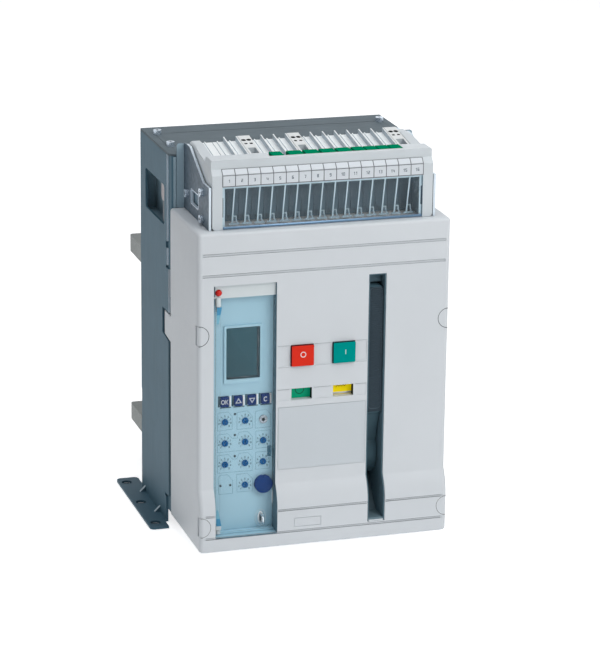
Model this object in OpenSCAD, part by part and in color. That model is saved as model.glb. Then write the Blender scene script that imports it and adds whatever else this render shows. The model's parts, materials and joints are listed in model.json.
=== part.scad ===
// Three-pole air circuit breaker for fixed mounting on two side feet.
// The front faces -Y, the power terminals leave at the rear, and +Z is up.
// The origin is the centre of the foot bolt pattern, on the surface that the feet stand on.

/* [Frame] */
// Width across the side plates and the front cover
body_w = 213; // [210:0.5:218]
// Height to the top of the top plate
frame_h = 324; // [322:1:332]
// Thickness of the frame sheet
sheet_t = 2; // [1.5:0.1:2.2]
// Distance from the middle foot holes to the front of the frame
plate_lead = 62; // [60:1:66]
// Depth of the frame
plate_depth = 100; // [98:1:106]
// Distance from the frame's front to the front edge of a side plate
edge_back = 6; // [4:0.5:8]
// The same distance beside the terminal block
edge_back_high = 11; // [9:0.5:13]
// Width of the angles behind the front edges
front_flange = 15; // [14:0.5:17]
// Outer radius of the sheet bends
bend_r = 2.5; // [2.2:0.1:3]
// Width of the inward top flange of a side plate
top_flange = 14; // [12.5:0.5:15]
// Length of the window in a side plate
window_len = 64; // [50:1:66]
// Height of the window in a side plate
window_h = 34; // [28:1:36]
// Distance from the frame's top to the window's lower edge
window_drop = 64; // [60:1:68]
// Distance from the plate's front edge to the window
window_inset = 19; // [18:1:26]
// Radius of the window's corners
window_r = 3; // [1:0.5:5]
// Distance of the top plate screws from the side faces
top_screw_inset = 8.5; // [7:0.5:9]

/* [Feet] */
// Reach of a foot outside its side plate
foot_reach = 17.5; // [16:0.5:24]
// Length of a foot
foot_len = 126; // [120:1:140]
// Diameter of the foot holes
foot_hole_d = 9; // [6:0.5:10]
// Distance between neighbouring foot holes
foot_pitch = 51.5; // [45:0.5:54]
// Distance from the side plate's outer face to the foot holes
foot_hole_inset = 10.5; // [9:0.5:12]
// Radius of the foot's corners
foot_r = 4; // [2:0.5:5]
// Height of the pressed darts in the foot bend
dart_h = 5; // [3:0.5:8]
// Width of a pressed dart
dart_w = 3; // [2:0.5:5]

/* [Front cover] */
// Depth of the cover
cover_depth = 86.5; // [84:0.5:92]
// Gap between the cover's rear rim and the side plates
cover_gap = 1.5; // [0.5:0.1:2.5]
// Height of the cover's lower edge
cover_bottom = 11.5; // [8:0.5:14]
// Height of the cover's top
cover_top = 279.5; // [276:0.5:284]
// Wall thickness of the cover
cover_wall = 3; // [2.4:0.1:3.4]
// Radius of the cover's vertical front edges
cover_r = 4; // [3:0.5:6]
// Radius of the cover's top and bottom edges
cover_edge_r = 2.5; // [1:0.5:2.8]
// How far the foot of the cover stands forward
flare = 7; // [4:0.5:8]
// Height where the flare starts to curve back
flare_low = 44; // [42:1:46]
// Height where the flare meets the main face
flare_high = 65; // [60:1:72]
// Height of the skirt line
skirt_z = 25; // [22:0.5:25.5]
// Heights of the two decorative grooves
groove_z = [244.5, 261.8];
// Height of a groove
groove_h = 1.9; // [0.8:0.1:2.2]
// Depth of a groove
groove_deep = 0.5; // [0.3:0.1:1]
// Radius of the screw plugs
plug_r = 8.2; // [6.5:0.1:8.4]
// Distance from the cover's side to the plug centres
plug_inset = 1; // [0.5:0.1:1.5]
// Height of the upper plugs
plug_high_z = 195; // [190:1:200]
// Height of the lower plugs
plug_low_z = 34; // [33.5:0.1:35]
// Thickness of a plug
plug_t = 3; // [2:0.5:4]
// Reach of the cover's rear tabs
tab_reach = 18; // [14:1:20]
// Height of the lower end of a rear tab
tab_z = 165; // [159:1:167]
// Height of a rear tab
tab_h = 22; // [20:1:22.5]
// Room behind and below a tab in the plate's notch
tab_room = 8; // [4:0.5:9]

/* [Control panel] */
// Distance from the cover's left side to the middle of the opening button
off_x = 87.6; // [85:0.1:88]
// Distance from the cover's left side to the middle of the closing button
on_x = 123; // [121:0.1:126]
// Width of a button
button_w = 18.6; // [16:0.2:21]
// Height of a button
button_h = 17.2; // [15:0.2:18]
// Height of the buttons' middle
button_z = 173; // [171:0.5:176]
// Distance of a button's cap before the cover's face
button_proud = 2.2; // [0.4:0.1:2.6]
// Gap round a button in the cover
button_gap = 0.5; // [0.4:0.1:1.2]
// Width of the flag windows
flag_w = 17.4; // [15:0.2:18]
// Height of the flag windows
flag_h = 10; // [8:0.5:11]
// Height of the flag windows' middle
flag_z = 140; // [138:0.5:142]
// Depth of the flag windows
flag_deep = 6; // [4:0.5:7]
// Thickness of a flag
flag_t = 1.2; // [0.8:0.1:1.6]
// Depth of the shallow panel bands and of the rating plate's seat
band_deep = 0.5; // [0.3:0.1:0.6]
// Height of the rating plate's seat
label_h = 54; // [45:1:55]
// Height of the lower edge of the rating plate's seat
label_z = 75.8; // [74:0.2:77]
// Width of the knock-out on the lower band
knock_w = 23.5; // [18:0.5:26]
// Height of the knock-out on the lower band
knock_h = 8; // [6:0.5:9]

/* [Protection unit] */
// Distance from the cover's left side to the unit's opening
unit_left = 13.4; // [12.5:0.1:14]
// Width of the unit's opening
unit_w = 52.4; // [52:0.2:54]
// Height of the opening's lower edge
unit_bottom = 23.5; // [22.5:0.1:24]
// Height of the opening's upper edge
unit_top = 236; // [234:0.5:238]
// Gap on the hinge side of the unit
unit_gap = 0.9; // [0.5:0.1:1.2]
// Distance of the unit's front behind the cover's main face
unit_recess = 2.5; // [2:0.5:4]
// Space between the clear cover's front and the fascia
fascia_drop = 6; // [5.8:0.1:7]
// Thickness of the fascia
fascia_t = 3; // [2:0.5:3.5]
// Depth of the unit's case behind the fascia
unit_depth = 40; // [34:1:42]
// Wall thickness of the unit's case
unit_wall = 2; // [1.5:0.1:2.5]
// Height of the plain band at the unit's top
unit_band_h = 11; // [10.4:0.2:12]
// Thickness of the clear cover
clear_t = 1.6; // [1.2:0.1:1.8]
// Distance from the unit's left edge to the clear cover's hinge
hinge_inset = 4.3; // [4.1:0.1:5]
// Radius of the hinge barrel and its posts
barrel_r = 2.4; // [2.2:0.1:2.6]
// Radius of the hinge pins
hinge_pin_r = 1.4; // [1:0.1:1.5]
// Width of the display's frame
lcd_w = 32; // [28:0.5:33]
// Height of the display's frame
lcd_h = 49; // [44:0.5:50]
// Height of the lower edge of the display's frame
lcd_z = 151; // [149:0.5:153]
// Distance from the cover's left side to the first key
key_x = 24.7; // [24.2:0.1:25.2]
// Distance between neighbouring keys
key_pitch = 11.4; // [10.5:0.1:11.6]
// Width of a key
key_w = 6.8; // [6:0.1:7.4]
// Height of a key
key_h = 8.4; // [7:0.1:9]
// Height of the keys' middle
key_z = 136; // [134.5:0.5:137]
// Radius of the setting dials
dial_r = 2.6; // [2.2:0.1:2.9]
// Radius of the lock knob
knob_r = 7.5; // [6:0.1:7.8]
// Radius of the reset button
reset_r = 2.6; // [2:0.1:3]
// Diameter of the seal loop's wire
seal_wire_d = 1.6; // [1.2:0.1:1.8]

/* [Charging handle] */
// Distance from the cover's left side to the handle slot
slot_left = 143.5; // [143:0.1:144.5]
// Width of the handle slot
slot_w = 15; // [14:0.5:16]
// Height of the handle slot's lower edge
slot_bottom = 26; // [25.8:0.1:28]
// Height of the handle slot's upper edge
slot_top = 237; // [234:0.5:240]
// Wall thickness of the handle well
well_wall = 1.6; // [1.2:0.1:1.8]
// Wall thickness of the well's collar in the slot
collar_t = 0.8; // [0.6:0.1:1]
// Height of the scoop's floor above the slot's lower edge
scoop_rise = 2.7; // [1:0.1:4]
// Depth of the charging axis behind the cover's main face
axis_drop = 35; // [33:0.5:36]
// Height of the charging axis
axis_z = 78; // [76:0.5:80]
// Radius of the handle's hub
hub_r = 22; // [20:0.5:25]
// Distance of the grip behind the cover's main face
grip_drop = 3; // [2:0.5:4]
// Thickness of the grip
grip_t = 24; // [20:0.5:25]
// Height of the grip's upper end
grip_top = 226; // [220:0.5:228]
// Height of the grip's lower end
grip_bottom = 115.7; // [112:0.1:118]
// Width of the handle's hub
hub_w = 12; // [9:0.2:12.2]

/* [Poles] */
// Width of the body that the three poles leave over
pole_margin = 3; // [2:0.5:4]
// Width of a terminal palm
terminal_w = 56; // [48:1:58]
// Thickness of a terminal
terminal_t = 15; // [12:0.5:16]
// Reach of the terminal palms behind the rear casing
terminal_reach = 42; // [36:1:50]
// Diameter of the terminal holes
terminal_hole_d = 11; // [9:0.5:12]
// Distance between the two holes of a terminal
terminal_hole_pitch = 28; // [24:1:30]
// Height of the lower terminals' underside
lower_z = 40; // [37:0.5:42]
// Height of the upper terminals' underside
upper_z = 196; // [193:0.5:199]
// Width of a terminal inside the casing
neck_w = 40; // [34:1:42]
// Distance from the foot pattern's centre to the rear of the casing
casing_rear = 72; // [70:1:76]
// Thickness of the casing's rear wall
casing_back_t = 16; // [12:1:18]
// Thickness of the walls between the poles
casing_rib = 8; // [7:0.5:9]
// Height of the casing's underside
casing_bottom = 16; // [14:0.5:17]
// Distance from the frame's top to the top of the poles
casing_drop = 72; // [70:1:76]
// Step on each side of the casing behind the side plates
casing_step = 7; // [6:0.5:8]
// Thickness of the front pole casing
front_casing_t = 6; // [5:0.5:7]
// Opening angle of the moving contacts
open_angle = 20; // [16:1:20]

/* [Terminal block] */
// Distance from the body's sides to the block's ends
block_margin = 14; // [12.5:0.5:15]
// Width of the block's end posts
post_w = 8.5; // [8:0.5:10]
// Distance of the block's front behind the cover's main face
block_drop = 8; // [6:0.5:10]
// Number of terminal modules
module_count = 16; // [14:1:16]
// Height of the wiring window above the cover
wiring_h = 35; // [32:0.5:37]
// Height of the whole beam
beam_h = 21; // [19:0.5:23]
// Depth of the wiring channels
channel_depth = 26; // [22:0.5:28]
// Depth of the modules behind the channels
module_depth = 45; // [40:0.5:46]
// Height of the green connectors above the beam
connector_proud = 0.4; // [0.2:0.1:1]
// Distance of the green connectors behind the beam's front edge
connector_back = 6; // [4:0.5:8]
// Gap between a bracket and the block
bracket_gap = 0.7; // [0.25:0.05:0.9]
// Thickness of the clear wiring cover
wiring_cover_t = 1.2; // [1:0.1:1.8]
// Thickness of a channel divider
divider_t = 1.2; // [0.8:0.1:1.6]
// Positions of the plug modules, counted from the left
plug_slots = [3, 7, 15];

/* [Clearances] */
// Gap between fixed neighbouring pieces
fit_gap = 0.25; // [0.15:0.05:0.35]
// Radial gap of a shaft in its bore
run_gap = 0.06; // [0.02:0.01:0.1]
// Gap round a sliding or swinging piece
slide_gap = 0.3; // [0.2:0.05:0.45]

/* [Hidden] */
$fn = 48;
EPS = 1;
half_w = body_w / 2;
plate_y0 = -plate_lead;
plate_y1 = plate_y0 + plate_depth;
plate_edge = plate_y0 + edge_back;
high_edge = plate_y0 + edge_back_high;
foot_cut = plate_y0 + 15;
hook_z = 26;
hook = 3;
angle_leg = 18;
lug_h = 13;
lug_low = 12;
tab_slope = 2;
tab_low_room = 2;
notch_z = [225.4, 242.4];
notch_h = [2.4, 5.9];
notch_deep = 3;
window_z = frame_h - window_drop;
cover_y1 = plate_y0 - cover_gap;
front_y = cover_y1 - cover_depth;
foot_y = front_y - flare;
flare_steps = 10;
edge_step = 22.5;
corner_step = 11.25;
foot_hole_x = half_w + foot_hole_inset;
top_screw_x = half_w - top_screw_inset;
top_screw_y = [plate_y0 + 31, plate_y0 + 75];
screw_r = 2;
screw_head_r = 3.4;
screw_head_h = 2.6;

// Front plan: distances from the cover's left side become X
off_cx = off_x - half_w;
on_cx = on_x - half_w;
unit_x0 = unit_left - half_w;
unit_x1 = unit_x0 + unit_w;
slot_x0 = slot_left - half_w;
slot_x1 = slot_x0 + slot_w;
panel_x0 = unit_x1 + 1.6;
panel_x1 = slot_x0 - 0.9;
lip_t = 1.8;
unit_lip_y = front_y + unit_recess + fascia_drop;
slot_lip_y = front_y + cover_wall + 3;
flag_lip_y = front_y + flag_deep;
tab_y1 = plate_y0 + tab_reach;
boss_r = 2.6;
boss_depth = 12;
pocket_depth = plug_t + screw_head_h + 1;
cover_screw_x = half_w - 6.5;

// Protection unit
unit_y = front_y + unit_recess;
fascia_y = unit_y + fascia_drop;
case_y = fascia_y + fascia_t;
case_y1 = case_y + unit_depth;
band_z = unit_top - unit_band_h;
unit_lip_h = 1.2;
unit_lip_top = unit_bottom + fit_gap + unit_lip_h;
case_x0 = unit_x0 + unit_gap;
case_x1 = unit_x1 - fit_gap;
hinge_x = unit_x0 + hinge_inset;
hinge_y = unit_y + clear_t / 2;
post_h = 6.3;
low_post_top = unit_lip_top + 2.6;
high_post_z = band_z - post_h;
pin_len = 4;
clear_x1 = unit_x1 - fit_gap - 0.4;
clear_x0 = hinge_x + barrel_r + 0.8;
clear_z0 = unit_lip_top + slide_gap;
clear_z1 = band_z - slide_gap;
reset_x = 17.9 - half_w;
reset_z = unit_top - 6.2;
lcd_x = 24 - half_w;
dial_cols = [25.2 - half_w, 42.3 - half_w, 57.5 - half_w];
dial_rows = [118.3, 100.1, 81.8, 62.9];
dial_at = [[0, 0], [1, 0], [0, 1], [1, 1], [2, 1], [0, 2], [1, 2], [2, 2], [1, 3]];
dial_proud = 1.2;
dial_len = fascia_t + 3;
knob_h = 3.9;
knob_shaft_r = 3;
socket_r = 3.5;
seal_x = 55.8 - half_w;
seal_z = 33;
seal_bend_r = 3.2;
seal_slot_w = 4;
seal_proud = 2.5;

// Charging handle and mechanism
axis_y = front_y + axis_drop;
well_y1 = axis_y + hub_r + 1;
well_x0 = slot_x0 + fit_gap + collar_t;
well_x1 = slot_x1 - fit_gap - collar_t;
collar_drop = 0.4;
scoop_z = slot_bottom + scoop_rise;
scoop_y = axis_y - 22;
scoop_top = axis_z - hub_r - 2.5;
handle_x = well_x0 + slide_gap;
handle_w = well_x1 - well_x0 - 2 * slide_gap;
grip_r = 5;
grip_edge_r = 4;
grip_y = front_y + grip_drop;
charge_shaft_r = 6;
cheek_t = 3;
cheek_toe = 20;
cheek_low = 34;
cheek_rise = 26;
cheek_brow = 15;
hatch_back = 30;
hatch_w = 26;
hatch_h = 40;
bridge_half = 12;
yoke_half = 9;
cheek_r_x = slot_x0 - 2.8 - cheek_t;
cheek_l_x = unit_x1 + 2;
cheek_in_l = cheek_l_x + cheek_t;
mech_x = (cheek_in_l + cheek_r_x) / 2;
cheek_y0 = axis_y - 17;
cam_low_r = 10;
cam_rise = 16;
cam_sweep = 170;
cam_back = 290;
cam_ramp = 60;
cam_w = 16;
roller_r = 5;
roller_gap = 0.9;
roller_z = axis_z + cam_low_r + cam_rise + roller_r + roller_gap;
yoke_z = roller_z + 6;
yoke_h = 8;
spring_x = 20;
guide_r = 4;
bridge_z = 206;
bridge_t = 5;
coil_r = 9;
coil_wire_d = 3.2;
coil_turns = 9;
ratchet_r = 20;
ratchet_teeth = 18;
ratchet_w = 7;
tooth_h = 2.6;

// Poles: the contact pivot, the pole shaft and the parallel drive links
pole_pitch = (body_w - pole_margin) / 3;
casing_top = frame_h - casing_drop;
casing_w = body_w - 2 * sheet_t - 2 * fit_gap;
rear_casing_w = casing_w - 2 * casing_step;
rear_wall = 2.25;
rear_pocket_w = rear_casing_w - 2 * rear_wall - 2 * pole_pitch;
back_wall_t = 4;
casing_y0 = plate_y0 + 32;
front_casing_y = casing_y0 - front_casing_t;
pocket_w = pole_pitch - casing_rib;
pocket_y1 = casing_rear - casing_back_t;
casing_floor = casing_bottom + 4;
pole_x = [-pole_pitch, 0, pole_pitch];
terminal_end = casing_rear + terminal_reach;
terminal_hole_y = terminal_end - 15;
neck_gap = 0.2;
pivot_y = 14;
pivot_z = 94;
pivot_r = 5;
pivot_seat = 2.2;
arm = [-18.5, 40];
shaft_r = 8;
fork_hub_r = 9.6;
shaft_gap = 0.4;
shaft_y = front_casing_y - fork_hub_r - shaft_gap;
shaft_z = pivot_z + 24;
link_pin_r = 4;
link_w = 16;
fork_gap = 0.8;
fork_t = 4;
finger_y = 13;
finger_t = 8;
finger_w = 7;
finger_pitch = 9;
finger_top = upper_z + terminal_t;
tip_t = 3.7;
contact_face = finger_y + finger_t + tip_t + slide_gap;
fixed_tip_t = 3;
fixed_pad_t = 8;
upper_front = contact_face + fixed_tip_t + fixed_pad_t;
carrier_w = 42;
carrier_top = 165;
flag_travel = flag_h + 2;
flag_y = flag_lip_y + 0.4;

// Arc chutes
chute_w = pole_pitch - 20;
chute_y0 = casing_y0 + 2;
chute_len = 58;
chute_z0 = finger_top + 8;
chute_z1 = frame_h - 2 * sheet_t - 0.5;
chute_wall = 3;
collar_w = pocket_w + 4;
collar_h = 4;
splitter_count = 8;
splitter_t = 2;

// Terminal block
block_y = front_y + block_drop;
block_z = cover_top + slide_gap;
block_w = body_w - 2 * block_margin;
block_half = block_w / 2;
cells_w = block_w - 2 * post_w;
module_pitch = cells_w / module_count;
cells_x0 = -cells_w / 2;
beam_z = block_z + wiring_h;
beam_top = beam_z + beam_h;
beam_t = 3;
label_face_h = 9.5;
label_step = 4;
label_bevel = 4.5;
beam_depth = 21;
beam_y1 = block_y + beam_depth;
connector_y = block_y + label_step + connector_back;
connector_h = 14;
connector_x = concat([-3.8], [for (i = [0:3]) -2.43 + 1.295 * i], [for (i = [0:3]) 2.75 + 0.99 * i]);
connector_w = concat([0.91], [for (i = [0:3]) 1.14], [for (i = [0:3]) 0.9]);
connector_ends = [-4.05, 6.67];
tray_y = block_y + channel_depth;
shelf_z = beam_z + 1;
module_y0 = beam_y1 + 4.2;
module_y1 = tray_y + module_depth;
module_z0 = shelf_z + sheet_t;
module_front_h = 13.5;
module_rear_h = 21;
module_gap = 0.4;
ridge_t = 1.2;
ridge_h = 4;
rib_x = 0.35;
rib_h = 0.8;
bracket_x = block_half + bracket_gap;
bracket_flange = 6;
bracket_screws = [[block_y + 66, block_z + 15], [block_y + 20, block_z + 27], [block_y + 20, block_z + 5]];

// Rectangle with round corners, its lower left corner at the origin
module round_rect(w, h, r) {
    translate([r, 0]) square([w - 2 * r, h]);
    translate([0, r]) square([w, h - 2 * r]);
    for (x = [r, w - r], y = [r, h - r]) translate([x, y]) circle(r);
}

// Upright panel in the XZ plane, from y0 back by t
module panel(x, z, w, h, y0, t, r = 0.6) {
    translate([x, y0 + t, z]) rotate([90, 0, 0]) linear_extrude(t) round_rect(w, h, r);
}

// Square-cornered block between two corners
module block(low, high) {
    translate(low) cube(high - low);
}

// A profile drawn in Y and Z, pulled along X
module along_x(x0, x1) {
    translate([x0, 0, 0]) rotate([90, 0, 90]) linear_extrude(x1 - x0) children();
}

module x_rod(x0, x1, y, z, r) {
    translate([x0, y, z]) rotate([0, 90, 0]) cylinder(r = r, h = x1 - x0);
}

module y_rod(y0, y1, x, z, r) {
    translate([x, y0, z]) rotate([-90, 0, 0]) cylinder(r = r, h = y1 - y0);
}

module z_rod(z0, z1, x, y, r) {
    translate([x, y, z0]) cylinder(r = r, h = z1 - z0);
}

module both_sides() {
    children();
    mirror([1, 0, 0]) children();
}

// Moves a shape with the open contacts about their pivot
module opened() {
    translate([0, pivot_y, pivot_z]) rotate([open_angle, 0, 0]) translate([0, -pivot_y,
        -pivot_z]) children();
}

// Link bar in Y and Z between two pin centres
module link_bar(a, b, end_r, bar_w) {
    run = b - a;
    translate(a) circle(end_r);
    translate(b) circle(end_r);
    translate(a) rotate(atan2(run.y, run.x)) translate([0, -bar_w / 2]) square([norm(run), bar_w]);
}

// Helical wire with a six-sided section
module coil(r, wire_d, length, turns) {
    rings = turns * 8;
    sides = 6;
    rise = (length - wire_d) / rings;
    points = [for (i = [0:rings], j = [0:sides - 1])
        let (a = 45 * i, b = 60 * j, d = r + wire_d / 2 * cos(b))
        [d * cos(a), d * sin(a), wire_d / 2 + rise * i + wire_d / 2 * sin(b)]];
    skin = [for (i = [0:rings - 1], j = [0:sides - 1], k = [0, 1])
        let (p = i * sides + j, q = i * sides + (j + 1) % sides)
        k == 0 ? [p, p + sides, q] : [q, p + sides, q + sides]];
    start_cap = [for (j = [1:sides - 2]) [0, j, j + 1]];
    end_cap = [for (j = [1:sides - 2]) [rings * sides, rings * sides + j + 1, rings * sides + j]];
    echo(coil_gap = rise * 8 - wire_d);
    polyhedron(points, concat(skin, start_cap, end_cap));
}

// Plan of a front angle, with its bend at the lower left
module angle_plan() {
    difference() {
        union() {
            translate([bend_r, 0]) square([front_flange - bend_r, angle_leg]);
            translate([0, bend_r]) square([front_flange, angle_leg - bend_r]);
            translate([bend_r, bend_r]) circle(bend_r);
        }
        translate([sheet_t, sheet_t]) square([front_flange, angle_leg]);
    }
}

// Angle that stands behind the front edge of a side plate and takes the screws from the front
module front_angle(z0, z1) {
    lap = 0.4;
    translate([-half_w + sheet_t - lap, plate_y0, z0]) linear_extrude(z1 - z0) angle_plan();
}

// Side plate with its foot, angles, window and notches, drawn on the left
module side_plate() {
    x0 = -half_w - EPS;
    x1 = -half_w + sheet_t + EPS;
    top = frame_h - sheet_t;
    foot_edge = 1.5;
    color("slategray") difference() {
        union() {
            along_x(-half_w, -half_w + sheet_t) polygon([[plate_y1, 0], [plate_y1, top], [high_edge, top],
                [high_edge, notch_z[0]], [plate_edge, notch_z[0]], [plate_edge, hook_z], [foot_cut, hook_z],
                [foot_cut, 0]]);
            front_angle(notch_z[0], top);
            front_angle(plug_high_z - lug_h / 2, plug_high_z + lug_h / 2);
            front_angle(lug_low, plug_low_z + lug_h / 2);
            block([-half_w, high_edge, top - sheet_t], [-half_w + top_flange, plate_y1, top]);
            translate([-half_w - foot_reach, -foot_len / 2, 0]) linear_extrude(sheet_t)
                round_rect(foot_reach + sheet_t, foot_len, foot_r);
            for (y = [-foot_pitch / 2, foot_pitch / 2]) translate([0, y + dart_w / 2, 0])
                rotate([90, 0, 0]) linear_extrude(dart_w)
                polygon([[-half_w - dart_h, sheet_t], [-half_w, sheet_t], [-half_w, sheet_t + dart_h]]);
        }
        for (y = [-foot_pitch, 0, foot_pitch]) z_rod(-EPS, sheet_t + EPS, -foot_hole_x, y, foot_hole_d / 2);
        block([-half_w - foot_edge, -foot_len, -EPS], [x1, foot_cut, sheet_t + EPS]);
        along_x(x0, x1) {
            translate([plate_y0 + window_inset, window_z]) round_rect(window_len, window_h, window_r);
            tab_outline(tab_room, tab_low_room, 1);
            translate([foot_cut - EPS, hook_z - hook]) square([hook + EPS, hook]);
            polygon([[plate_y1 + EPS, 62], [plate_y1 - 1.5, 66], [plate_y1 - 1.5, 92], [plate_y1 + EPS,
                96]]);
        }
        along_x(x0, -half_w + sheet_t - 0.4) for (i = [0, 1])
            translate([plate_y0, notch_z[i]]) square([edge_back_high + notch_deep, notch_h[i]]);
        for (y = top_screw_y) z_rod(top - 2 * sheet_t, frame_h, -top_screw_x, y, screw_r + fit_gap);
    }
}

// Outline of the cover's rear tab, widened behind, below and above for the notch that takes it
module tab_outline(back, below, above) {
    polygon([[cover_y1 - EPS, tab_z - below], [plate_y0 + back / 2, tab_z - below],
        [tab_y1 + back, tab_z + tab_slope - below / 2], [tab_y1 + back, tab_z + tab_h + above],
        [cover_y1 - EPS, tab_z + tab_h + above]]);
}

module left_side_plate() {
    side_plate();
}

module right_side_plate() {
    mirror([1, 0, 0]) side_plate();
}

module top_plate() {
    corner = 6;
    color("dimgray") difference() {
        translate([0, 0, frame_h - sheet_t]) linear_extrude(sheet_t) polygon([
            [-half_w, plate_y1], [-half_w, plate_y0 + corner], [-half_w + corner, plate_y0],
            [half_w - corner, plate_y0], [half_w, plate_y0 + corner], [half_w, plate_y1]]);
        for (s = [-1, 1], y = top_screw_y)
            z_rod(frame_h - 2 * sheet_t, frame_h + EPS, s * top_screw_x, y, screw_r + fit_gap);
    }
}

// Screws of the top plate, the terminal brackets and the cover
module frame_screws() {
    color("lightsteelblue") both_sides() {
        for (y = top_screw_y) {
            z_rod(frame_h - 2 * sheet_t - 2, frame_h + 1, -top_screw_x, y, screw_r);
            z_rod(frame_h, frame_h + screw_head_h + 1, -top_screw_x, y, screw_head_r);
        }
        for (p = bracket_screws) {
            x_rod(-bracket_x - sheet_t - EPS, -bracket_x + 5, p.x, p.y, screw_r);
            x_rod(-bracket_x - sheet_t - screw_head_h, -bracket_x - sheet_t, p.x, p.y, screw_head_r);
        }
        for (p = [[plug_high_z, front_y], [plug_low_z, foot_y]]) {
            y_rod(p.y + pocket_depth - EPS, plate_y0, -cover_screw_x, p.x, screw_r);
            y_rod(p.y + pocket_depth - screw_head_h, p.y + pocket_depth, -cover_screw_x, p.x, screw_r + 1);
        }
    }
}

// Rear moulding with one pocket for each pole and a wall behind the arc chutes
module pole_casing() {
    fin_t = 3;
    fin_reach = 9;
    rib_t = 3;
    back_top = frame_h - 2 * sheet_t - fit_gap;
    grip_z = [75, 105, 135, 225];
    grip_h = 14;
    grip_deep = 3;
    color("darkslategray") difference() {
        union() {
            block([-casing_w / 2, casing_y0, casing_bottom], [casing_w / 2, plate_y1, casing_top]);
            block([-rear_casing_w / 2, plate_y1 - EPS, casing_bottom], [rear_casing_w / 2, casing_rear,
                casing_top]);
            block([-casing_w / 2, plate_y1 - back_wall_t, casing_top - EPS], [casing_w / 2, plate_y1,
                back_top]);
            for (x = [-pole_pitch / 2, pole_pitch / 2])
                block([x - fin_t / 2, casing_rear - EPS, casing_bottom + 4], [x + fin_t / 2,
                    casing_rear + fin_reach, casing_top - 20]);
        }
        for (x = pole_x) {
            block([x - pocket_w / 2, casing_y0 - EPS, casing_floor], [x + pocket_w / 2,
                plate_y1 - back_wall_t, casing_top + EPS]);
            block([x - rear_pocket_w / 2, casing_y0, casing_floor], [x + rear_pocket_w / 2, pocket_y1,
                casing_top - rib_t]);
            for (z = [lower_z, upper_z])
                block([x - neck_w / 2 - neck_gap, pocket_y1 - EPS, z - neck_gap],
                    [x + neck_w / 2 + neck_gap, casing_rear + EPS, z + terminal_t + neck_gap]);
            x_rod(x - pocket_w / 2 - pivot_seat - fit_gap, x + pocket_w / 2 + pivot_seat + fit_gap,
                pivot_y, pivot_z, pivot_r + run_gap);
            for (z = grip_z) panel(x - rear_pocket_w / 2, z, rear_pocket_w, grip_h, casing_rear - grip_deep,
                grip_deep + EPS, 2);
        }
    }
}

// Front wall of the poles, with slots for the drive links and an ear behind each side window
module pole_front_casing() {
    slot_z0 = pivot_z + arm.y - 10;
    slot_h = 30;
    slot_side = 1.6;
    slot_r = 2;
    ear_w = 17;
    ear_h = 24;
    ear_r = 4;
    ear_t = 5;
    ear_x = -casing_w / 2;
    ear_z = window_z + 18;
    color("tan") difference() {
        union() {
            block([-casing_w / 2, front_casing_y, casing_bottom], [casing_w / 2, casing_y0, casing_top]);
            both_sides() along_x(ear_x, ear_x + ear_t) {
                translate([front_casing_y - front_casing_t, ear_z]) round_rect(ear_w, ear_h, ear_r);
                translate([front_casing_y, casing_top - EPS]) square([front_casing_t,
                    ear_z + ear_h / 2 - casing_top]);
            }
        }
        for (x = pole_x) panel(x - link_w / 2 - slot_side, slot_z0, link_w + 2 * slot_side, slot_h,
            front_casing_y - EPS, front_casing_t + 2 * EPS, slot_r);
    }
}

// One power terminal: a neck through the casing and a palm with two holes
module terminal(x, z, y_in) {
    difference() {
        union() {
            block([x - neck_w / 2, y_in, z], [x + neck_w / 2, casing_rear + EPS, z + terminal_t]);
            translate([x - terminal_w / 2, casing_rear, z]) linear_extrude(terminal_t) {
                round_rect(terminal_w, terminal_reach, 3);
                square([terminal_w, terminal_reach / 2]);
            }
        }
        for (s = [-1, 1]) z_rod(z - EPS, z + terminal_t + EPS, x + s * terminal_hole_pitch / 2,
            terminal_hole_y, terminal_hole_d / 2);
    }
}

module upper_terminals() {
    color("silver") for (x = pole_x) terminal(x, upper_z, upper_front);
}

module lower_terminals() {
    color("silver") for (x = pole_x) terminal(x, lower_z, pivot_y - 5);
}

// Copper pad with a raised contact tip on each upper terminal
module fixed_contacts() {
    color("peru") for (x = pole_x) {
        block([x - neck_w / 2, upper_front - fixed_pad_t, upper_z - 5], [x + neck_w / 2, upper_front,
            finger_top + 4]);
        block([x - 18, contact_face, finger_top - 16], [x + 18, upper_front - fixed_pad_t + EPS,
            finger_top]);
    }
}

module contact_pivots() {
    color("lightgray") for (x = pole_x)
        x_rod(x - pocket_w / 2 - pivot_seat, x + pocket_w / 2 + pivot_seat, pivot_y, pivot_z, pivot_r);
}

// Flexible straps from the lower terminals to the foot of the contacts
module contact_braids() {
    out_r = (pivot_z - 9 - 0.5 - lower_z - terminal_t) / 2;
    strap_t = 3;
    mid_z = lower_z + terminal_t + out_r;
    color("chocolate") for (x = pole_x) along_x(x - 15, x + 15) {
        difference() {
            translate([pivot_y + 6, mid_z]) circle(out_r);
            translate([pivot_y + 6, mid_z]) circle(out_r - strap_t);
            translate([pivot_y + 6, mid_z - out_r]) square(2 * out_r);
        }
        translate([pivot_y + 5, mid_z - out_r]) square([8, strap_t]);
    }
}

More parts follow.
